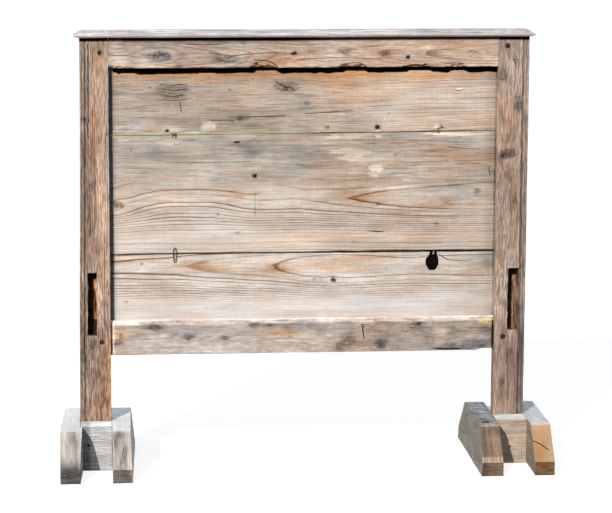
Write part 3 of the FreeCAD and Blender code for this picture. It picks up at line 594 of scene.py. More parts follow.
class NodeTree:
    """Short ways to add nodes.  Sources are values to reckon with, sockets or plain numbers."""

    def __init__(self, owner):
        owner.use_nodes = True
        self.tree = owner.node_tree
        self.tree.nodes.clear()

    def add(self, kind, sources=(), **settings):
        node = self.tree.nodes.new("ShaderNode" + kind)
        for name, setting in settings.items():
            setattr(node, name, setting)
        for key, source in dict(sources).items():
            source = getattr(source, "socket", source)
            if isinstance(source, bpy.types.NodeSocket):
                self.tree.links.new(source, node.inputs[key])
            else:
                node.inputs[key].default_value = source
        return node

    def value(self, kind, sources=(), output=0, **settings):
        return Value(self, self.add(kind, sources, **settings).outputs[output])

    def attribute(self, name, output="Fac"):
        return self.value("Attribute", output=output, attribute_name=name)

    def math(self, operation, first, second=0.0):
        return self.value("Math", {0: first, 1: second}, operation=operation)

    def maximum(self, first, second):
        return self.math("MAXIMUM", first, second)

    def span(self, value, low, high, to_low=0.0, to_high=1.0):
        """Maps low..high smoothly to to_low..to_high."""
        limits = {"From Min": low, "From Max": high, "To Min": to_low, "To Max": to_high}
        sources = {"Value": value, **limits}
        return self.value("MapRange", sources, interpolation_type="SMOOTHSTEP")

    def noise(self, vector, scale, detail=2.0, roughness=0.55):
        stretched = self.value("VectorMath", {0: vector, 1: scale}, operation="MULTIPLY")
        sources = {"Vector": stretched, "Scale": 1.0, "Detail": detail, "Roughness": roughness}
        return self.value("TexNoise", sources)

    def mix(self, factor, first, second, blend="MIX", clamp=True):
        sources = {0: factor, 6: first, 7: second}
        kind = {"data_type": "RGBA", "blend_type": blend, "clamp_factor": clamp}
        return self.value("Mix", sources, 2, **kind)

    def multiply(self, colour, other):
        return self.mix(1.0, colour, other, "MULTIPLY")

    def seen(self, *others):
        """1 for what the camera and reflections see, and for the other rays that are named."""
        rays = self.add("LightPath").outputs
        direct = self.maximum(rays["Is Camera Ray"], rays["Is Glossy Ray"])
        for other in others:
            direct = self.maximum(direct, rays[other])
        return direct

    def finish(self, colour, roughness, height, distance, **shader):
        bump = self.add("Bump", {"Height": height, "Distance": distance, "Strength": 1.0})
        sources = {"Base Color": colour, "Roughness": roughness, "Normal": bump.outputs[0]}
        sources.update({name.replace("_", " "): value for name, value in shader.items()})
        surface = self.add("BsdfPrincipled", sources)
        self.add("OutputMaterial", {"Surface": surface.outputs[0]})


def wood_material(name, pale, deep, band, line, lines, streaks, hairs, flecks, drift):
    """Weathered softwood: pale and deep are its early wood, band and line its late wood."""
    material = bpy.data.materials.new(name)
    nodes = NodeTree(material)
    mark, span, mix = nodes.attribute, nodes.span, nodes.mix
    fibres = functools.partial(nodes.noise, mark("wood", "Vector"))
    tone, knot, heart, calm = (mark(kind) for kind in ("tone", "knot", "heart", "calm"))

    # early wood
    broad = fibres((5, 17, 17), 4.0, 0.62)
    share = span(broad, 0.36, 0.64, -0.45, 0.55) * (1 - calm)
    colour = mix(share + 0.45, srgb(*pale), srgb(*deep))

    # late wood, a band with a darker line at the ring's border
    ring = mark("ring") + fibres((7, 70, 70)) * 0.35
    part = nodes.math("FRACT", ring)
    number = nodes.value("TexWhiteNoise", {"W": nodes.math("FLOOR", ring)}, noise_dimensions="1D")
    strong = mark("lines") * span(broad, 0.3, 0.7, lines * 0.75, lines * 1.25)
    strong *= span(number, 0.0, 1.0, 0.3, 1.0)
    late = span(part, 0.45, 0.9) * span(part, 1.0, 0.95) * strong
    colour = mix(late * 0.55, colour, srgb(*band))
    border = span(part, 0.71, 0.86) * span(part, 1.0, 0.97)
    colour = mix(border * strong, colour, srgb(*line))

    # streaks, short marks across, hair cracks, threads and pits
    fine = fibres((6, 240, 240), 3.0, 0.6)
    streak = fibres((2.4, 85, 85), 4.0, 0.65)
    shade = span(streak, 0.28, 0.72, 1 - streaks * 0.55, 1 + streaks * 0.4)
    shade *= span(fine, 0.25, 0.75, 1 - streaks, 1 + streaks * 0.75)
    shade *= span(fibres((210, 22, 22), 2.0, 0.5), 0.25, 0.75, 0.94, 1.05)
    hair = span(fibres((3.2, 330, 330), 2.0, 0.5), 0.58, 0.72)
    hair *= span(streak, 0.35, 0.65, hairs, 0.15)
    shade *= 1 - hair
    thread = span(fibres((11, 290, 290), 3.0, 0.6), 0.53, 0.6) * mark("hairs")
    shade *= 1 - thread * 0.46
    shade *= span(fibres((34, 210, 210), 2.0, 0.6), 0.3, 0.7, 1 + flecks * 0.7, 1 - flecks)
    colour = nodes.multiply(colour, mix(calm, shade, WHITE))

    # grey-blue and orange parts
    warm = mark("warm") + span(fibres((3.5, 19, 19), 2.0, 0.5), 0.3, 0.7, -drift, drift)
    colour = nodes.multiply(colour, mix(warm * -1.0, WHITE, COOL_TINT))
    colour = nodes.multiply(colour, mix(nodes.maximum(warm, 0.0), WHITE, WARM_TINT, clamp=False))

    # knots: a halo, a ringed body, a rim and a dark eye
    ragged = knot + span(fibres((75, 200, 200), 3.0, 0.6), 0.3, 0.7, -0.3, 0.3)
    specks = span(fibres((110, 300, 300), 2.0, 0.6), 0.47, 0.6, 0.35, 1.25)
    inside = span(ragged, 1.2, 0.8) * nodes.maximum(specks, span(heart, 0.45, 0.8))
    rim = span(knot, 1.35, 1.02) * span(knot, 0.7, 0.95)
    rings = span(nodes.math("SINE", knot * 21.0), -1.0, 1.0, 0.75, 1.1)
    eye = span(knot, 0.5, 0.22) * span(heart, 0.38, 0.6)
    colour = mix(span(knot, 2.4, 1.0) * (heart * 0.35), colour, srgb(*line))
    body = nodes.multiply(srgb(*[part * 0.82 for part in line]), rings)
    colour = mix(inside * nodes.math("POWER", heart, 0.6), colour, body)
    core = nodes.maximum(nodes.maximum(rim * 0.6, eye), inside * span(heart, 0.6, 1.0))
    colour = mix(core * heart, colour, srgb(34, 28, 27))

    # fresh wood in chips, then the level of tone, cracks, moss and lichen
    rag = span(fibres((30, 230, 230), 2.0, 0.6), 0.3, 0.7, -2.5, 2.5)
    fresh = span(mark("chip") + rag, 1.0, -0.8)
    bright = mix(span(fine, 0.3, 0.7), srgb(220, 201, 174), srgb(252, 239, 216))
    colour = mix(fresh * 0.85, colour, bright)
    level = nodes.maximum(tone + 1.0, 0.012)
    colour = nodes.multiply(colour, level)
    crack = span(nodes.math("ABSOLUTE", mark("crack")), 1.0, 0.35) * mark("split")
    colour = mix(crack, colour, srgb(24, 19, 18))
    moss = mark("moss")
    fluff = span(fibres((160, 300, 300), 3.0, 0.6), 0.35, 0.6, 0.55, 1.0)
    colour = mix(moss * fluff, colour, srgb(178, 192, 124))
    colour = mix(moss * (fluff * -1.0), colour, srgb(222, 212, 140))

    height = streak * 0.6 + fine * 0.5 + late * 0.3 - hair * 0.4 - crack * 2.0
    gloss = span(level, 0.05, 0.7, 0.0, 0.3) * (1 - crack)
    nodes.finish(colour, 0.8, height, 0.0006, Specular_IOR_Level=gloss)
    return material


def metal_material(name, colour):
    """Dull zinc with fine scratches and darker spots."""
    material = bpy.data.materials.new(name)
    nodes = NodeTree(material)
    place = nodes.value("TexCoord", output="Object")
    spots = nodes.noise(place, (900, 900, 900), 3.0, 0.6)
    rust = nodes.noise(place, (160, 160, 160), 3.0, 0.6)
    tint = nodes.mix(nodes.span(spots, 0.35, 0.7), srgb(*colour), srgb(105, 103, 100))
    tint = nodes.mix(nodes.span(rust, 0.55, 0.7), tint, srgb(120, 82, 55))
    rough = nodes.span(spots, 0.3, 0.7, 0.35, 0.6)
    nodes.finish(tint, rough, spots, 0.0001, Metallic=0.85)
    return material


# ---------------------------------------------------------------- from timber to object


def new_object(name, data):
    made = bpy.data.objects.new(name, data)
    bpy.context.scene.collection.objects.link(made)
    return made


def make_piece(name, points, faces, material, attributes, slot, *nodes):
    """A smooth mesh object in metres which stands for CAD nodes and rides on the only body."""
    mesh = bpy.data.meshes.new(name)
    mesh.from_pydata((points / METRE).tolist(), [], faces.tolist())
    for label, values in attributes.items():
        kind, field = ("FLOAT_VECTOR", "vector") if values.ndim == 2 else ("FLOAT", "value")
        mesh.attributes.new(label, kind, "POINT").data.foreach_set(field, values.ravel())
    mesh.shade_smooth()
    mesh.materials.append(material)
    made = new_object(name, mesh)
    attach(made, "root")
    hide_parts(*nodes)


def build(timber, kind):
    """Makes the timber's piece.  Each timber has wood of its own, cut far from the others'."""
    shift = np.array([1.37, 0.71, 0.53]) * timber.seed * METRE
    wood = (timber.base[:, GRAIN_AXES[timber.grain]] + shift) / METRE
    attributes = {"wood": wood, "ring": timber.ring, **vars(timber.marks)}
    name, material, slot = timber.node + "_weathered", woods[kind], kind + "_timber"
    make_piece(name, timber.points, timber.quads, material, attributes, slot, timber.node)


# ---------------------------------------------------------------- posts


def wall_depth(places, low, high):
    """Depth of the steep-sided mortise between low and high."""
    deep = MORTISE_DEPTH
    steps = (0, 0.3, deep / 3, deep / 1.5, deep - 0.3, deep)
    return np.interp(np.minimum(places - low, high - places), (-0.4, 0, 0.2, 0.4, 0.6, 1.0), steps)


def near(low, high):
    """Lattice places for a wall that falls off at low and rises at high."""
    steps = np.array((-2.5, -1.2, -0.4, 0, 0.2, 0.4, 0.6, 1.0, 2.0))
    return [*(low + steps), *(high - steps)]


REED_PROFILE = (
    # distance from the post's outer face, depth below its front
    (0, 3.75), (0.5, 2.0), (1.1, 1.1), (1.9, 0.5), (2.8, 0.12), (3.75, 0), (4.7, 0.12), (5.6, 0.5),
    (6.4, 1.1), (7.0, 2.0), (7.5, 3.75), (8.0, 2.0), (8.6, 1.1), (9.4, 0.5), (10.3, 0.12),
    (11.25, 0), (12.2, 0.12), (13.1, 0.5), (13.9, 1.1), (14.5, 2.0), (15.0, 3.75), (15.5, 5.25),
    (20.3, 5.25), (20.9, 3.0), (21.4, 0.6), (22.2, 0),
)  # fmt: skip

POST_FACE = 679.0  # the posts' outer faces are this far from the middle
MORTISES = {"left": (25.0, 52.5), "right": (22.0, 55.0)}  # distances from the outer face
MORTISE_LEVELS = (402.0, 593.5)
MORTISE_DEPTH = 38.0
PEGS = [(-612, 1255), (612, 1271), (-612, 381), (612, 381)]
PEG_LINES = np.arange(-9.5, 9.6, 1.1)  # closer lattice places round a peg
# painted shade under the cap's overhang, on the posts and the top rail
SHADE_UNDER_CAP = (1287.5, 1289.5)  # heights between which it begins


def make_post(side):
    sign = SIDES[side]
    right = side == "right"
    outer_wall, inner_wall = MORTISES[side]
    outer_face = sign * POST_FACE
    across = [place for place, _ in REED_PROFILE] + near(outer_wall, inner_wall)
    pegs = [(x, z) for x, z in PEGS if x * sign > 0]
    timber = Timber(
        f"{side}_post",
        seed=4 if right else 3,
        steps=(3.2, 4.5, 4.5),
        grain="z",
        x=[outer_face - sign * place for place in across] + [*(pegs[0][0] + PEG_LINES)],
        z=near(*MORTISE_LEVELS) + [z + step for _, z in pegs for step in PEG_LINES],
    )
    timber.soften(1.8, 0.9, 1.0, (80, 9))
    t = sign * (outer_face - timber.x)  # distance from the outer face
    z = timber.z

    # the reeds along the outer edge, dented, and broken off near the right post's top
    jitter = 0.5 * timber.noise((90, 400), 21, 2)
    reeds = np.interp(t + jitter, *np.array(REED_PROFILE).T)
    dents = np.clip(timber.noise((70, 9), 22, 3) - 0.55, 0, 1) * 3.0 * ramp(t, 24, 15)
    broken = ramp(z, 1252, 1262) * (t < 7.6) * 3.0 * right
    timber.recess(np.minimum(reeds + dents + broken, 6.0))

    # the open mortise, with ragged edges and a rough back wall
    hollow = np.minimum(wall_depth(t, outer_wall, inner_wall), wall_depth(z, *MORTISE_LEVELS))
    timber.recess(hollow)
    front = timber.front
    inside = front * (hollow > 0.2)
    for wall in (outer_wall, inner_wall):
        rag = 1.3 * flat_noise(z, wall, (13, 5), timber.seed + 40, 3)
        timber.points[:, 0] += front * rag * bell((t - wall) / 4)
    for level in MORTISE_LEVELS:
        rag = 1.5 * flat_noise(t, level, (6, 5), timber.seed + 41, 2)
        timber.points[:, 2] += front * rag * bell((z - level) / 4)
    rough = timber.noise((9, 5), 44, 3)
    timber.points[:, 1] += inside * (hollow > 30) * (rough * 2.5 - 3.0)

    # the left post stands a little narrower towards its top
    if not right:
        timber.points[:, 0] += 9.0 * ramp(z, 150, 1250) * np.interp(t, (0, 25, 95), (1, 1, 0))

    grow_rings(
        timber,
        pith=[(0, sign * 600), (600, sign * 622), (1300, sign * 610)],
        depth=[(0, 46), (700, 60), (1300, 40)],
        radii=ring_radii(38, [5, 4.5, 4, 4, 3.6, 3.4], 3.6, seed=timber.seed),
        wobble=1.6,
    )
    timber.apply_features()
    marks = timber.marks
    quirk = front * ramp(np.abs(t - 17.8), 3.6, 2.2)  # the groove between the reeds and the face
    reeded = ramp(t, 23, 15)
    low, high = ramp(z, 480, 380), ramp(z, 560, 640)  # below the mortise and above it
    # painted shade in the groove between the reeds and the face; the reeds themselves a little
    # darker
    groove = 0.32 - 0.16 * low if right else 0.14 + 0.16 * ramp(z, 900, 1100)
    marks.tone -= groove * quirk + 0.1 * reeded
    marks.lines *= 1 - 0.35 * reeded
    marks.warm += 0.16 * timber.noise((160, 18), 45, 2)
    marks.tone += 0.1 * timber.noise((40, 12), 46, 3)
    marks.tone -= 0.17 * ramp(z, 420, 340) + 0.18 * ramp(z, 1020, 940) * high * right
    marks.hairs += 0.4
    marks.calm += 0.28 * high
    marks.tone -= 0.07 * high
    marks.warm += 0.1 * high
    marks.tone -= 0.28 * ramp(t, 19, 14) * ramp(z, 640, 560) * ramp(z, 320, 400) * right
    marks.warm -= 0.16 + 0.25 * ramp(z, 1080, 1140) if right else 0.14
    marks.tone += 0.03 * ramp(z, 1080, 1140) * right
    marks.tone -= (0.19 if right else 0.09) * low
    marks.warm += 0.22 * low * (not right)
    marks.calm += 0.45 * low * right
    # inside the mortise: painted shade darkens it, and a painted sunlit strip by one wall is paler
    # and orange
    middle = (outer_wall + inner_wall) / 2
    painted_sunlight = ramp(-sign * (t - middle) + (0.3 if right else -1), 0, 3.0) * ramp(z, 575, 555)
    painted_sunlight *= 0.8 - 0.3 * ramp(z, 500, 430) if right else 1.5 * ramp(z, 445, 449)
    streaky = 0.5 + 0.5 * flat_noise(t, z, (4, 40), timber.seed + 42, 3)
    marks.tone = np.where(inside > 0, (-0.86 if right else -0.9) + 0.8 * painted_sunlight * streaky, marks.tone)
    marks.warm = np.where(inside > 0, np.maximum(1.1 * painted_sunlight, 0.6 * right), marks.warm)
    for peg_x, peg_z in PEGS:
        away = np.hypot(timber.x - peg_x, z - peg_z) + 0.8 * flat_noise(timber.x, z, 6, 43, 2)
        timber.recess(front * 1.6 * ramp(away, 8.2, 7.0))
        marks.tone -= front * 0.55 * ramp(away, 9.5, 7.0)
    for mark in (marks.lines, marks.split, marks.heart):
        mark *= 1 - inside
    # painted shade under the cap's overhang
    marks.tone -= front * ramp(z, *SHADE_UNDER_CAP)
    # painted shade on the front of the left post's inner side, and painted lighter on the right
    # post's beside the right ends of the boards
    painted_side_shading = timber.face("x", -sign) * (z > 338) * ramp(timber.points[:, 1], -22, -16)
    marks.tone -= painted_side_shading * np.where(right & (z > 445) & (z < 1206), -0.2, 0.5)
    build(timber, "post")


# ---------------------------------------------------------------- rails


CHIPS = [
    # places along the top rail's lower edge where it has split off: from, to, height, depth
    (-168, -76, 13, 14), (100, 190, 13, 11), (292, 386, 8, 11), (420, 492, 9, 10),
    (-340, -262, 4, 5), (-570, -500, 5, 6), (20, 62, 3, 4), (520, 574, 4, 4),
]  # fmt: skip


def chip_share(x, low, high):
    return np.minimum(ramp(x, low, low + 16), ramp(x, high, high - 22))


def rail_edge(x):
    """How far the lower front edge of the top rail is worn off, along the rail."""
    worn = 2.0 + 3.4 * flat_noise(x, 0, (48, 9), 77, 3)
    return np.clip(worn, 0.3, None) + 10 * ramp(x, -560, -578)


def make_top_rail():
    timber = Timber("top_rail", 5, (3.5, 3.6, 3.0), span_x=OPENING, z=np.arange(1208, 1228, 1.3))
    timber.soften(1.6, 0.8, 1.0, (90, 10))
    x, z = timber.x, timber.z
    front = timber.front
    timber.cut_corner(-1, rail_edge(x))
    chipped = np.zeros(len(x))
    for low, high, tall, deep in CHIPS:
        along = chip_share(x, low, high)
        top = 1208 + tall * (0.75 + 0.5 * flat_noise(x, 0, (9, 5), 91, 3)) * along
        amount = ramp(z, top + 0.7, top - 1.2) * ramp(along, 0.05, 0.3)
        timber.recess(amount * deep * (0.8 + 0.35 * timber.noise((12, 5), 24, 2)))
        chipped = np.maximum(chipped, amount)
    grow_rings(
        timber,
        pith=[(-584, 1252), (-230, 1240), (0, 1256), (300, 1246), (584, 1252)],
        depth=[(-584, 40), (0, 70), (584, 50)],
        radii=ring_radii(20, [6, 6, 5, 5, 5], 4.6, seed=5),
        wobble=3.0,
    )
    timber.apply_features()
    marks = timber.marks
    marks.warm += 0.8 * chipped * front
    marks.tone += 0.1 * timber.noise((80, 14), 46, 3) + 0.3 * chipped * front
    marks.lines *= 0.75
    marks.hairs += 0.3
    marks.lines *= 1 - 0.7 * chipped
    # painted shade under the cap's overhang
    marks.tone -= front * ramp(z, *SHADE_UNDER_CAP)
    # painted shade on the rail's underside
    marks.tone -= 0.9 * ramp(timber.points[:, 1], -19, -14) * (z < 1209)  # the underside
    marks.tone += -0.12 + 0.27 * ramp(x, -150, 150) + 0.1 * front * ramp(z, 1228, 1212)
    marks.warm += 0.08
    marks.calm += 0.15
    build(timber, "rail")


def make_bottom_rail():
    timber = Timber("bottom_rail", 6, (3.5, 3.6, 3.2), span_x=OPENING)
    timber.soften(1.8, 0.8, 1.1, (90, 10))
    x, z = timber.x, timber.z
    front = timber.front
    over = timber.cut_corner(1, 13.5 + 2.2 * timber.noise((60, 1000), 23, 3))
    # an open joint at both ends, and the lower edge lifted at the right one
    timber.recess(11.0 * front * (ramp(x, -578.0, -579.5) + ramp(x, 579.5, 581.0)))
    timber.points[:, 2] += 5.5 * ramp(z, 372, 340) * ramp(x, 525, 552)
    grow_rings(
        timber,
        pith=[(-584, 404), (-350, 398), (-100, 412), (140, 386), (340, 402), (584, 380)],
        depth=[(-584, 30), (0, 56), (584, 34)],
        radii=ring_radii(24, [6, 5.5, 5, 5], 4.8, seed=8),
        wobble=4.0,
    )
    timber.apply_features()
    marks = timber.marks
    edge = ramp(over, 0.1, 0.8)  # the chamfer along the top
    upper = ramp(timber.points[:, 2], 439.5, 441.5) * (timber.y < -1)
    dirt = timber.noise((26, 12), 48, 3)
    left_end = ramp(x + 0.8 * (z - 438), -492, -508)
    # painted highlight: the chamfer paler, most along its upper edge and towards the left end,
    # with dirt darkening it in places
    strong = 0.02 + 0.52 * left_end + 0.14 * ramp(x, 330, 450) + 0.42 * upper * (1 - left_end)
    marks.tone += 0.17 * timber.noise((46, 20), 46, 3)
    marks.tone += edge * (strong - 0.35 * ramp(dirt, 0.2, 0.7))
    marks.tone += 0.17 * timber.noise((17, 10), 54, 3) * (1 - edge * left_end)
    marks.calm += 0.35
    marks.tone += 0.5 * ramp(x, -570, -576)
    rusty = ramp(timber.noise((40, 60), 49, 3), 0.2, 0.6)
    marks.warm += edge * (-0.4 - 0.3 * left_end + 0.3 * rusty)
    marks.warm -= 0.25
    right = ramp(x, -50, 250)
    marks.tone -= 0.26 * right * (1 - edge) + 0.02
    marks.warm += 0.12 * right * (1 - edge)
    marks.warm += 0.35 * timber.noise((70, 26), 53, 3) * (1 - edge)
    marks.lines *= 0.42 - 0.35 * edge
    lichen = ramp(x, 528, 540) * ramp(timber.noise((14, 7), 66, 2), -0.5, 0.2)
    marks.moss -= 0.9 * lichen * ramp(z - timber.y, 433, 440) * front
    # painted shade in the open joints at both ends
    marks.tone -= 0.9 * front * (ramp(x, -578.0, -579.0) + ramp(x, 579.5, 580.5))
    build(timber, "rail")


# ---------------------------------------------------------------- boards


LEFT_DOWEL_LINES = np.arange(-396.5, -378, 0.75)  # closer lattice places round a bare dowel
RIGHT_DOWEL_LINES = np.arange(400, 418, 0.75)
LEFT_DOWEL, RIGHT_DOWEL = -387.5, 409.0
DOWEL_DEPTH = 7.5  # y of the dowels' middle lines
BARE_DEPTH = 7.5  # how deep the cuts go that lay a dowel bare


def make_board(node, seed, step_z, x, z):
    timber = Timber(node, seed, (4.0, 4.0, step_z), span_x=OPENING, x=x, z=z)
    timber.soften(1.3, 0.8, 0.8, (110, 12))
    return timber


def make_upper_board():
    timber = make_board(
        "upper_board",
        7,
        3.6,
        x=[*LEFT_DOWEL_LINES, *RIGHT_DOWEL_LINES],
        z=[*np.arange(1184, 1206, 1.2), *np.arange(1005.5, 1018, 1.2)],
    )
    slope_joint(timber, lower_end=True)
    grow_rings(
        timber,
        pith=[(-584, 908), (0, 890), (584, 904)],
        depth=[(-584, 20), (0, 30), (584, 24)],
        radii=ring_radii(50, [], 7.5, seed=9),
        wobble=2.4,
    )
    timber.apply_features()
    marks = timber.marks
    right = ramp(timber.x, 120, 300)
    marks.lines *= 0.22 + 0.3 * right + 0.2 * timber.noise((200, 40), 45, 2)
    marks.hairs[:] = 1.0 - 0.45 * right
    smudge = timber.noise((75, 22), 51, 4)
    marks.tone -= 0.13 * ramp(smudge, 0.15, 0.9) * (1 - 0.7 * right)
    marks.warm -= 0.38 * ramp(smudge, 0.15, 0.9) * (1 - 0.6 * right)
    marks.calm += 0.22
    marks.warm += 0.55 * ramp(timber.z, 1165, 1190)
    end = timber.low[2]
    edge = ramp(timber.z, end + 4.4, end + 2.8)
    mossy = ramp(timber.x, 60, -120) * (0.8 + 0.35 * timber.noise((40, 400), 64, 2))
    marks.moss += edge * np.clip(mossy, 0, 1)
    marks.tone -= edge * 0.7 * ramp(timber.x, -150, 100) * ramp(timber.z, end + 2.4, end + 1)
    bare_dowel(timber, timber.z - end, LEFT_DOWEL, 5.5, 4.0)
    bare_dowel(timber, timber.z - end, RIGHT_DOWEL, 5.5, 10.0)
    finish_board(timber, -0.122 + 0.165 * right, 0.35 - 0.05 * right)


def make_middle_board():
    timber = make_board(
        "middle_board",
        8,
        3.6,
        x=[*LEFT_DOWEL_LINES, *RIGHT_DOWEL_LINES],
        z=np.arange(997, 1012.5, 1.2),
    )
    slope_joint(timber, lower_end=False)
    grow_rings(
        timber,
        pith=[
            (-574, 824), (-535, 841), (-463, 865), (-415, 870), (-274, 869), (-216, 857),
            (-162, 841), (-11, 830), (116, 811), (293, 806), (421, 805), (584, 807),
        ],
        depth=[
            (-574, 52), (-274, 52), (-162, 56), (-11, 64), (116, 60), (397, 43), (421, 42),
            (584, 34),
        ],
        radii=ring_radii(42, [18, 7.7, 15, 6.5, 6, 6.5, 7, 7, 7.5, 5, 7, 9, 12, 14], 11, seed=10),
        wobble=2.4,
        settle=90,
    )  # fmt: skip
    timber.apply_features()
    marks = timber.marks
    x, z = timber.x, timber.z
    upper_half = ramp(z, 830, 900)
    marks.lines *= (1.1 - 0.95 * ramp(z, 842, 880)) * (1 - 0.55 * ramp(z, 728, 704))
    marks.lines *= 1 - 0.95 * ramp(np.abs(x + 145), 75, 40) * ramp(z, 826, 836)
    marks.lines *= 1 + 0.6 * ramp(x, 0, 60) * ramp(x, 470, 400) * ramp(z, 815, 795)
    marks.hairs += 0.5 * upper_half
    smudge = timber.noise((90, 24), 51, 4)
    marks.tone -= 0.14 * ramp(smudge, 0.1, 0.9) * upper_half
    marks.warm -= 0.28 * ramp(smudge, 0.1, 0.9) * upper_half
    marks.calm += 0.2 * ramp(x, 150, -100)
    end = timber.high[2]
    edge = ramp(z, end - 2.4, end - 1.2)
    marks.moss += edge * ramp(x, 20, -120)
    marks.tone -= edge * 0.6 * ramp(x, -150, 100)
    marks.calm += 0.35 * ramp(z, 730, 700)
    open_joint(timber, z - timber.low[2])
    dowel_slot(timber)
    bare_dowel(timber, end - z, LEFT_DOWEL, 6.5, 13.0)
    bare_dowel(timber, end - z, RIGHT_DOWEL, 5.0, 8.0)
    left_low = ramp(x, 150, -50) * (1 - upper_half)
    right_low = ramp(x, 0, 200) * (1 - upper_half)
    warmth = 0.02 + ramp(x, -300, 200) * (0.16 * upper_half + 0.08) - 0.18 * left_low
    finish_board(timber, 0.005 - 0.11 * upper_half + 0.16 * left_low - 0.06 * right_low, warmth)


KNOTHOLE = np.array([
    # height, left side and right side of its outline
    (585.0, 389, 400), (588, 384.5, 404.5), (593, 380.3, 408.4), (599, 377.0, 411.2),
    (605, 375.0, 412.6), (611, 374.2, 412.9), (618, 374.8, 412.6), (624, 377.2, 411.9),
    (630, 381.5, 410.2), (635, 386.5, 408.4), (645, 387.4, 407.3),
])  # fmt: skip


def make_lower_board():
    timber = make_board(
        "lower_board",
        9,
        4.0,
        x=[*np.arange(370, 418, 1.2), *LEFT_DOWEL_LINES],
        z=np.arange(580, 645, 1.3),
    )
    x, z = timber.x, timber.z
    grow_rings(
        timber,
        pith=[(-584, 606), (-387, 608), (-95, 605), (150, 600), (584, 602)],
        depth=[
            (-600, 62), (-387, 59), (-135, 47.5), (-101, 46), (18, 31), (60, 26), (110, 24),
            (180, 27), (235, 31.5), (330, 35), (400, 33), (435, 31), (560, 29),
        ],
        radii=ring_radii(31, [15, 13, 8, 6.5, 6, 6, 6, 6.5, 6, 6.5, 6, 7], 6.5, seed=11),
        wobble=2.0,
    )  # fmt: skip
    timber.apply_features()
    front = timber.front
    marks = timber.marks

    # the knothole, which is flat at its lower end; its pocket is painted near-black as shade
    left_side, right_side = (np.interp(z, KNOTHOLE[:, 0], KNOTHOLE[:, side]) for side in (1, 2))
    away = np.maximum(left_side - x, x - right_side) + 0.7 * flat_noise(x, z, 9, 61, 2)
    away = np.maximum(away, 585.5 - z)
    timber.recess(front * 13.0 * ramp(away, 0.6, -1.8))
    rim = 0.3 * ramp(away, 7, 4) * ramp(away, 1.5, 4)
    # painted shade: the pocket near-black, and a darker rim round it
    marks.tone -= front * (2.2 * ramp(away, 0.8, -1.0) + rim)
    marks.tone += front * 0.12 * ramp(away, 5, 3)
    marks.warm += front * 0.5 * ramp(away, 7, 3)
    marks.lines *= (1 - 0.8 * ramp(away, 9, 4)) * (1.15 - 0.95 * ramp(z, 520, 495))
    marks.hairs *= 1 - 0.6 * ramp(z, 535, 500)
    marks.calm += 0.5 * ramp(z, 530, 495)
    open_joint(timber, timber.high[2] - z)
    dowel_slot(timber)
    # painted shade on the upper front towards the right post, and painted lighter towards the left
    # post
    top_part = front * ramp(z, 586, 600)
    marks.tone += top_part * (0.15 * ramp(x, -420, -480) - 0.3 * ramp(x, 515, 575))
    low_half = ramp(z, 580, 555)
    finish_board(timber, 0.16 + 0.1 * low_half, -0.22 - 0.12 * low_half)


def lay_bare(timber, away):
    """Cuts the front down to a dowel where away is below 0, and paints shade in the cut."""
    timber.recess(timber.front * BARE_DEPTH * ramp(away, 0.4, -1.0))
    # painted shade in the cut round the dowel
    timber.marks.tone -= 0.85 * ramp(away, 0.5, -0.4)


def dowel_slot(timber):
    """The groove that lays one dowel bare across the joint over the lower board."""
    low, high = 616.0, 662.5
    z = timber.z
    half = 3.4 + 3.4 * np.sin(np.pi * np.clip((z - low) / (high - low), 0, 1))
    away = np.abs(timber.x - LEFT_DOWEL) - half + 0.7 * flat_noise(z, 0, (8, 5), 63, 2)
    lay_bare(timber, np.maximum(away, np.maximum(low - z, z - high)))


def bare_dowel(timber, from_joint, place, half, reach):
    """A chip at the upper joint that lays a dowel bare."""
    away = (np.hypot((timber.x - place) / half, from_joint / reach) - 1) * half
    away += 0.8 * flat_noise(timber.x, timber.z, (4, 5), 66, 2)
    lay_bare(timber, away)
    timber.marks.moss *= ramp(away, -1, 1)


def open_joint(timber, away):
    """The joint over the lower board stands open at the front, more and more to the right."""
    gap = np.interp(timber.x, (-560, -500, -100, 300, 584), (0.8, 1.8, 2.2, 2.8, 3.0))
    gap *= 1 + 0.25 * timber.noise((60, 400), 65, 3)
    timber.marks.tone -= 0.9 * ramp(away, gap + 0.7, gap - 0.7)
    timber.recess(timber.front * 5.0 * ramp(away, gap + 0.5, gap - 1.0))


def slope_joint(timber, lower_end):
    """Bends the board's edge to the sloping joint between the two upper boards."""
    joint = np.interp(timber.x, (-584, 584), (1004.25, 1013.75))
    half_gap = 0.5
    low, high = timber.low[2], timber.high[2]
    if lower_end:
        timber.bend = (high - timber.z) / (high - low) * (joint + half_gap - low)
    else:
        timber.bend = (timber.z - low) / (high - low) * (joint - half_gap - high)


def finish_board(timber, tone, warm):
    """Bends the board, paints shade at its ends and the top rail's shadow along its top, and sets
    its levels.
    """
    timber.points[:, 2] += timber.bend
    marks, x = timber.marks, timber.x
    # painted shade on the front towards the posts, strongest at the right end
    ends = 0.15 * ramp(x, -552, -570) + 0.26 * ramp(x, 535, 578) + 0.3 * ramp(x, 578.5, 580.5)
    marks.tone -= timber.front * ends
    if timber.node == "upper_board":
        rail_x = x - 11.7  # the sun shines from the left, so the shade falls that far to the right
        gone = rail_edge(rail_x)
        for chip_low, chip_high, _, deep in CHIPS:
            gone = np.maximum(gone, deep * chip_share(rail_x, chip_low, chip_high))
        # painted shadow of the top rail along the board's top, its edge following the rail's worn
        # and chipped lower edge
        rail_shadow_edge = 1187.0 + 0.75 * gone
        marks.tone -= timber.front * 1.1 * ramp(timber.z, rail_shadow_edge - 0.6, rail_shadow_edge + 1.2)
    marks.tone += tone + 0.06 * timber.noise((140, 22), 46, 3)
    marks.warm += warm + 0.1 * timber.noise((220, 26), 47, 3)
    # painted shade beside the left post, a dark strip where its shadow falls on the boards; the
    # solids have no gap there
    gap = timber.front * ramp(x, -568.5, -571.0)
    marks.tone += gap * (-0.6 - marks.tone)
    marks.warm += gap * (-1.0 - marks.warm)
    build(timber, "board")


# ---------------------------------------------------------------- cap, battens, feet


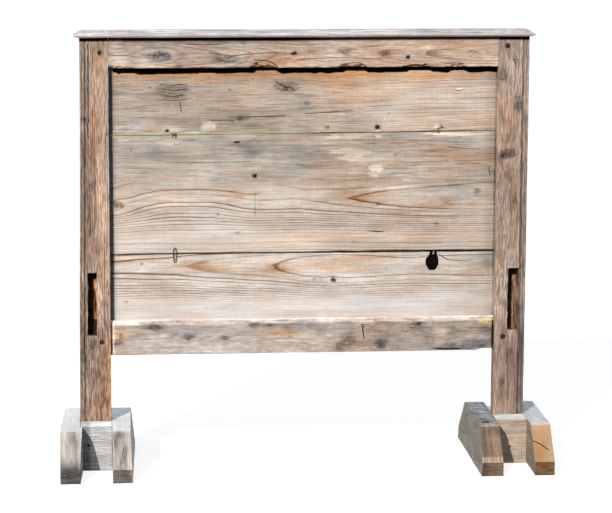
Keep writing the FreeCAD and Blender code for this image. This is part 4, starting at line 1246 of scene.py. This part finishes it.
def make_cap():
    timber = Timber("cap_board", 10, (4.0, 2.6, 2.6))
    timber.soften(1.5, 0.6, 0.5, (80, 10))
    x, y, z = timber.points.T  # views: what is done to x and z moves the points
    half_length, half_width, bottom, height = 696, 34, 1300, 22.0
    inward = np.minimum(half_length - np.abs(x), half_width - np.abs(y))
    top = 6.0 + 16.0 * np.clip(inward / 25.0, 0, 1)
    lifted = 3.6 * ramp(np.abs(x), 668, half_length) ** 2
    z[:] = bottom + lifted + (z - bottom) * (top - lifted) / height
    x += 8.0 * ramp(x, -640, -half_length)
    grow_rings(
        timber,
        pith=[(-700, 10), (700, -20)],
        depth=[(-700, 40), (700, 30)],
        radii=ring_radii(20, [], 5.0, seed=12),
        wobble=3.0,
        axes=(0, 1, 2),
    )
    marks = timber.marks
    marks.tone += 0.1 * timber.noise((90, 14), 46, 3) - 0.1 - 0.12 * ramp(x, -50, 350)
    lower = ramp(z, 1305.0, 1303.0)
    marks.tone -= 0.34 * lower
    marks.warm += 0.9 * lower + 0.4 * timber.noise((50, 12), 59, 2)
    build(timber, "cap")


def make_batten(side):
    timber = Timber(f"{side}_batten", 12 + SIDES[side], (4.0, 4.0, 5.5), "z")
    timber.soften(1.5, 0.7, 0.8, (90, 12))
    middle = timber.middle
    grow_rings(
        timber,
        pith=[(440, middle - 12), (900, middle + 14), (1210, middle)],
        depth=[(440, 30), (900, 22), (1210, 34)],
        radii=ring_radii(20, [], 5.0, seed=13),
    )
    timber.marks.tone += 0.1 * timber.noise((90, 18), 46, 3)
    build(timber, "batten")


# The outline of a foot beam: how far from the middle its slopes start and its noses stand, and
# how high it is at both.
SLOPE_START, NOSE = 154.0, 244.0
BEAM_HEIGHT, NOSE_HEIGHT = 138.0, 40.0

BEAM_LOOKS = {
    # tone and warm of the level top, the slopes, the noses and the sides
    "left_foot_outer_beam": ((0.25, -1.7), (0.02, -0.5), (-0.77, -0.6), (-0.2, -0.5)),
    "left_foot_inner_beam": ((0.27, -1.8), (-0.21, -0.12), (-0.69, -0.2), (0.4, -1.4)),
    "right_foot_inner_beam": ((-0.49, -2.6), (-0.7, 0.8), (-0.65, 0.85), (-0.33, -0.3)),
    "right_foot_outer_beam": ((-0.12, -1.7), (-0.44, 1.2), (-0.71, 1.7), (-0.41, 0.2)),
}

SMUDGES_AND_PAINTED_LIGHT = {
    # place, reaches along x, y and z, tone and warm
    "left_foot_outer_beam": [
        (-702, -166, 124, (10, 10, 99), -0.42, -0.3),
        (-691, -182, 108, (10, 14, 99), -0.4, -0.2),
        (-707, -248, 45, (90, 27, 99), -0.88, -0.5),
        (-734, -190, 80, (8, 50, 99), -0.12, 0.5),
    ],
    "left_foot_inner_beam": [
        (-562, -164, 124, (12, 12, 99), -0.38, -0.3),
        (-574, -180, 106, (8, 16, 99), -0.3, -0.3),
        (-551, -210, 74, (8, 24, 99), -0.3, -0.5),
        (-566, -240, 46, (10, 8, 99), -0.3, -0.3),
        (-572, -190, 95, (7, 40, 99), -0.12, 0.3),
        (-531, -215, 60, (5, 34, 99), -0.05, 0.8),
        # painted light: a paler orange strip at the foot of the beam's right side, by the nose
        (-527, -244, 20, (5, 12, 40), 0.3, 1.0),
    ],
    "right_foot_inner_beam": [
        (560, -165, 128, (24, 16, 99), -0.1, 0.2),
        (524, -100, 30, (9, 140, 24), -0.22, 0.0),
    ],
    "right_foot_outer_beam": [
        (715, -160, 132, (30, 16, 99), 0.1, 0.3),
        (690, -225, 60, (14, 20, 99), -0.08, 0.4),
    ],
}

BEAM_CRACKS = {
    # strength, lines on the side as y and z, lines on the front slope as x and y
    "right_foot_outer_beam": (
        1.0,
        [[(-110, 108), (-200, 92)]],
        [[(678, -193), (700, -201), (721, -213)]],
    ),
    "left_foot_inner_beam": (
        0.6,
        [],
        [[(-547, -192), (-553, -208), (-559, -228)], [(-538, -196), (-542, -210), (-547, -225)]],
    ),
}


def beam_top(y):
    """Height of a foot beam's top, which dips a little where its level part meets a slope."""
    y = np.abs(y)
    plain = np.interp(y, (SLOPE_START, NOSE), (BEAM_HEIGHT, NOSE_HEIGHT))
    return plain - 1.2 * bell((y - SLOPE_START) / 5)


def turn_beam(timber, side, outer):
    """The sawn beams aren't quite square: they widen or narrow towards the back and the foot."""
    x, y, z = timber.points.T  # views: what is added to x moves the points
    width = 60
    back = np.clip((y + SLOPE_START) / (2 * SLOPE_START), 0, 1.25)
    if side == "left" and outer:
        x += 13.0 * back * (-679 - x) / width
        x += 6.5 * ramp(y, -240, -110) * ramp(y, -93.5, -98) * (x + 739) / width
    elif side == "left":
        up = np.clip(z / BEAM_HEIGHT, 0, 1)
        wider = 17.0 * (y + NOSE) / (2 * NOSE) * (1 - 0.8 * up) - 1.0
        forward = np.clip((SLOPE_START - y) / (2 * SLOPE_START), 0, 1)
        x += (wider - 5.0 * forward * up) * (x + 584) / width
    elif not outer:
        x -= 7.0 * (1 - z / BEAM_HEIGHT) * (584 - x) / width


def nearest_crack(first, second, lines):
    best = np.full(len(first), FAR)
    for line in lines:
        away = crack_distance(first, second, line)
        best = np.where(np.abs(away) < np.abs(best), away, best)
    return best


def make_beam(side, outer):
    node = f"{side}_foot_{'outer' if outer else 'inner'}_beam"
    seed = 14 + 2 * (side == "right") + outer
    breaks = (-152, -154, -156, -98, -96.5, -95, -93.5, -92.5, 152, 154, 156)
    timber = Timber(node, seed, (3.6, 4.0, 4.0), "y", y=breaks)
    timber.soften(1.9, 0.8, 0.8, (60, 12))
    _, y, z = timber.points.T
    z *= beam_top(y) / BEAM_HEIGHT
    turn_beam(timber, side, outer)
    middle = timber.middle
    grow_rings(
        timber,
        pith=[(-NOSE, middle - 6), (0, middle + 8), (NOSE, middle)],
        depth=[(-NOSE, 18), (0, 24), (NOSE, 18)],
        radii=ring_radii(6, [], 5.5, seed=seed),
        wobble=3.0,
    )
    marks = timber.marks
    marks.tone += 0.1 * timber.noise((50, 14), 46, 3)
    top = ramp(timber.z, 134, 137.9)
    level = top * ramp(np.abs(y), 156, 150)
    slope = top * ramp(np.abs(y), 152, 158)
    nose = np.maximum(timber.front, 0.6 * timber.face("y", 1))
    sides = 1 - np.maximum(top, nose)
    for share, (tone, warm) in zip((level, slope, nose, sides), BEAM_LOOKS[node]):
        marks.tone += share * tone
        marks.warm += share * warm
    marks.lines *= (1 - 0.4 * nose) * (1 - 0.9 * level) * (1 - 0.7 * slope)
    marks.hairs *= 1 - 0.8 * level
    marks.calm += 0.75 * level * (node != "right_foot_inner_beam")
    if node == "right_foot_outer_beam":
        marks.calm += 0.75 * slope
        marks.tone -= 0.1 * slope * timber.noise((50, 14), 46, 3)
        marks.warm += 0.3 * slope * noise(timber.base[:, :2], (22, 16), 60, 2)
    if node == "left_foot_inner_beam":
        # painted light on the top behind the post, where the post's shadow falls
        marks.tone += 0.25 * level * ramp(y, 0, 30)
    if node == "right_foot_inner_beam":
        ridges = noise(timber.base[:, :2], (34, 8), 55, 3)
        marks.tone += 0.32 * level * ridges - 0.12 * level * ramp(y, 40, -140)
        marks.tone += 0.3 * slope * ramp(y + 4 * noise(timber.x, 9, 56, 2), -226, -232)
        marks.tone -= 0.14 * nose * ramp(timber.x, 560, 530)
    for spot_x, spot_y, spot_z, reach, tone, warm in SMUDGES_AND_PAINTED_LIGHT[node]:
        away = (timber.points - (spot_x, spot_y, spot_z)) / reach
        away *= 1 + 0.35 * noise(timber.base, (12, 20, 12), seed + 57, 2)[:, None]
        weight = np.exp(-(away**2).sum(1)) * (1 if spot_y == -NOSE else 1 - nose)
        marks.tone += tone * weight
        marks.warm += warm * weight
    if node in BEAM_CRACKS:
        strength, side_lines, slope_lines = BEAM_CRACKS[node]
        on_side = timber.face("x", -1)
        on_slope = nearest_crack(timber.x, y, slope_lines)
        away = np.where(on_side > 0, nearest_crack(y, z, side_lines), on_slope)
        marks.crack = away / 1.7
        marks.split = strength * ramp(np.abs(away), *CRACK_REACH) * np.maximum(on_side, slope)
    build(timber, "foot")


SPACER_LOOKS = {
    # width of a ring, tone, warm and lines, place of the dark spot, tone and warm of the top
    "left": (6.0, 0.22, -1.1, 0.75, (-653.3, 78.1), (0.5, -1.0)),
    "right": (3.4, -0.21, 0.55, 0.5, (627.9, 52.4), (0.52, -1.5)),
}


def make_spacer(side, end):
    ring, tone, warm, lines, (spot_x, spot_z), (top_tone, top_warm) = SPACER_LOOKS[side]
    seed = 20 + 2 * (side == "right") + (end == "rear")
    timber = Timber(f"{side}_{end}_spacer", seed, (3.2, 3.6, 3.2))
    timber.soften(1.6, 0.7, 0.9, (60, 10))
    middle = timber.middle
    grow_rings(
        timber,
        pith=[(middle - 50, 138), (middle - 10, 150), (middle + 50, 136)],
        depth=[(middle - 50, 14), (middle, 24), (middle + 50, 16)],
        radii=ring_radii(16, [], ring, seed=seed),
        wobble=4.0,
    )
    marks = timber.marks
    marks.tone += 0.08 * timber.noise((50, 12), 46, 3)
    marks.warm += warm
    # painted shade on the left spacers' left part, where the outer beam's shadow falls
    marks.tone += tone - 0.65 * ramp(timber.x, -644, -656)
    marks.lines *= lines
    spot = np.hypot((timber.x - spot_x) / 4.5, (timber.z - spot_z) / 3)
    spot += 0.2 * timber.noise((9, 5), 58, 2)
    marks.tone -= 0.7 * timber.front * ramp(spot, 1.4, 0.7)
    top = timber.face("z", 1)
    marks.tone += top_tone * top
    marks.warm += top_warm * top
    build(timber, "spacer")


# ---------------------------------------------------------------- pegs and dowels


CORE = 0.05  # radius of the rings that close a turned shape


def turned(profile, steps, squareness, seed):
    """Points and quads of a closed shape turned round the Y axis.  profile is (radius, y)."""
    angles = np.linspace(0, 2 * math.pi, steps, endpoint=False)
    across, up = np.cos(angles), np.sin(angles)
    rough = 1 + squareness * noise(np.stack([across, up], 1) * 1.6, 1.0, seed, 2)
    rings = [
        np.stack([radius * rough * across, np.full(steps, y), radius * rough * up], 1)
        for radius, y in profile
    ]
    quads = []
    for start in range(0, (len(profile) - 1) * steps, steps):
        here = start + np.arange(steps)
        there = start + (np.arange(steps) + 1) % steps
        quads.append(np.stack([here, there, there + steps, here + steps], 1))
    return np.concatenate(rings), np.concatenate(quads)


def make_turned_piece(name, parts, wood_kind, tone, warm, node):
    """One piece from several turned shapes, each given as its points and quads."""
    counts = [len(points) for points, _ in parts]
    starts = np.cumsum([0, *counts[:-1]])
    points = np.concatenate([points for points, _ in parts])
    quads = np.concatenate([quads + start for (_, quads), start in zip(parts, starts)])
    marks = vars(new_marks(len(points), tone=tone, warm=warm, lines=0.5))
    attributes = {"wood": points[:, GRAIN_AXES["y"]] / METRE, "ring": points[:, 0] / 4.0, **marks}
    make_piece(name, points, quads, woods[wood_kind], attributes, "peg_wood", node)


def make_pegs():
    rim = [(3, -22.4), (5.0, -22.2), (5.7, -21.6), (5.95, -20)]
    profile = [(CORE, -22.4), *rim, (5.95, -4), (CORE, -4)]
    parts = []
    for number, (x, z) in enumerate(PEGS):
        points, quads = turned(profile, 20, 0.06, 70 + number)
        parts.append((points + (x, 0, z), quads))
    make_turned_piece("whittled_pegs", parts, "peg", -0.45, -0.6, "draw_bore_pegs")


def make_dowels(name, node, places):
    parts = []
    for number, (x, low, high) in enumerate(places):
        stops = np.linspace(0, 1, 15)
        radii = 1.6 + 3.5 * np.sin(np.pi * stops) ** 0.8
        profile = [(CORE, low), *zip(radii, low + stops * (high - low)), (CORE, high)]
        points, quads = turned(profile, 18, 0.08, 80 + number)
        points = points[:, (0, 2, 1)] + (x, DOWEL_DEPTH, 0)
        parts.append((points, quads[:, ::-1]))
    make_turned_piece(name, parts, "dowel", 0.0, 0.1, node)


# ---------------------------------------------------------------- everything


WOODS = {
    # pale and deep early wood, band and line of the late wood, then how strong the ring lines,
    # streaks, hair cracks, flecks and drifts of hue are
    "post": ((214, 187, 168), (192, 160, 138), (164, 120, 96), (124, 92, 76),
             0.3, 0.15, 0.42, 0.55, 0.12),
    "rail": ((228, 210, 194), (202, 174, 152), (182, 138, 106), (130, 98, 80),
             0.55, 0.18, 0.36, 0.26, 0.25),
    "board": ((227, 214, 200), (207, 186, 168), (188, 144, 104), (134, 104, 80),
              0.95, 0.14, 0.34, 0.1, 0.16),
    "cap": ((222, 213, 212), (198, 187, 186), (180, 158, 150), (150, 128, 120),
            0.4, 0.22, 0.4, 0.2, 0.2),
    "batten": ((206, 180, 152), (180, 148, 120), (160, 118, 86), (122, 90, 66),
               0.55, 0.3, 0.4, 0.25, 0.3),
    "foot": ((220, 208, 194), (198, 181, 162), (170, 140, 112), (122, 102, 86),
             0.6, 0.16, 0.34, 0.2, 0.25),
    "spacer": ((224, 214, 202), (206, 190, 172), (180, 152, 126), (128, 110, 96),
               0.85, 0.2, 0.3, 0.14, 0.15),
    "peg": ((86, 70, 60), (60, 48, 42), (48, 36, 32), (36, 28, 26),
            0.4, 0.3, 0.3, 0.4, 0.3),
    "dowel": ((226, 206, 176), (206, 178, 144), (180, 140, 100), (150, 110, 80),
              0.4, 0.3, 0.4, 0.3, 0.3),
}  # fmt: skip
woods = {kind: wood_material(kind + "_wood", *looks) for kind, looks in WOODS.items()}
screw_steel = metal_material("screw_steel", (168, 170, 172))

for side in SIDES:
    make_post(side)
    make_batten(side)
    for end in ("front", "rear"):
        make_spacer(side, end)
    for outer in (True, False):
        make_beam(side, outer)
make_top_rail()
make_bottom_rail()
make_upper_board()
make_middle_board()
make_lower_board()
make_cap()
make_pegs()
make_dowels("upper_dowels", "upper_joint_dowels", [(-388, 981.8, 1031.8), (409, 986.2, 1036.2)])
make_dowels("lower_dowels", "lower_joint_dowels", [(-387.3, 615.5, 663.5), (398.5, 633.5, 681.5)])
for node in ("batten_screws", "cap_screws", "left_foot_screws", "right_foot_screws"):
    for material_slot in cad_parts[node].material_slots:
        material_slot.material = screw_steel


# ---------------------------------------------------------------- floor, light and camera


def make_floor():
    mesh = bpy.data.meshes.new("floor")
    reach = 40.0
    corners = [(-reach, -reach, 0), (reach, -reach, 0), (reach, reach, 0), (-reach, reach, 0)]
    mesh.from_pydata(corners, [], [(0, 1, 2, 3)])
    material = bpy.data.materials.new("pale_floor")
    nodes = NodeTree(material)
    plain = nodes.add("BsdfDiffuse", {"Color": (0.12, 0.13, 0.145, 1)})
    pale = nodes.add("BsdfDiffuse", {"Color": (0.28, 0.25, 0.225, 1)})
    glow = nodes.add("Emission", {"Color": (1, 1, 1, 1), "Strength": 0.8})
    both = nodes.add("AddShader", {0: pale.outputs[0], 1: glow.outputs[0]})
    seen = nodes.seen("Is Transmission Ray")
    surface = nodes.add("MixShader", {0: seen, 1: plain.outputs[0], 2: both.outputs[0]})
    nodes.add("OutputMaterial", {"Surface": surface.outputs[0]})
    mesh.materials.append(material)
    floor = new_object("floor", mesh)


def make_world():
    world = bpy.data.worlds.new("studio")
    bpy.context.scene.world = world
    nodes = NodeTree(world)
    sky = nodes.add("Background", {"Color": (0.62, 0.80, 1.0, 1), "Strength": 0.18})
    white = nodes.add("Background", {"Color": (1, 1, 1, 1), "Strength": 1.0})
    mixed = nodes.add("MixShader", {0: nodes.seen(), 1: sky.outputs[0], 2: white.outputs[0]})
    nodes.add("OutputWorld", {"Surface": mixed.outputs[0]})


def make_sun(name, travel, strength, spread, colour):
    light = bpy.data.lights.new(name, "SUN")
    light.energy = strength
    light.angle = math.radians(spread)
    light.color = colour
    sun = new_object(name, light)
    sun.rotation_euler = Vector(travel).to_track_quat("-Z", "Y").to_euler()


def make_camera():
    data = bpy.data.cameras.new("camera")
    data.sensor_width = 36.0
    data.lens = 147.06
    data.clip_end = 200.0
    camera = new_object("camera", data)
    aside, down, roll = -5.088, 9.861, 0.226
    turn = Matrix.Rotation(math.radians(aside), 4, "Z")
    turn = turn @ Matrix.Rotation(math.radians(90 - down), 4, "X")
    turn = turn @ Matrix.Rotation(math.radians(roll), 4, "Z")
    camera.matrix_world = Matrix.Translation((-0.6541, -7.4356, 1.9304)) @ turn
    bpy.context.scene.camera = camera


make_floor()
make_world()
make_sun("sun", (0.53, 1.0, -0.75), 3.35, 1.5, (1.0, 0.972, 0.935))
make_sun("sky_above", (0.05, 0.1, -1.0), 1.7, 40.0, (0.76, 0.88, 1.0))
make_sun("sky_behind", (-0.5, -1.0, -0.5), 1.0, 40.0, (0.80, 0.90, 1.0))
make_camera()
bpy.context.scene.view_settings.view_transform = "Standard"
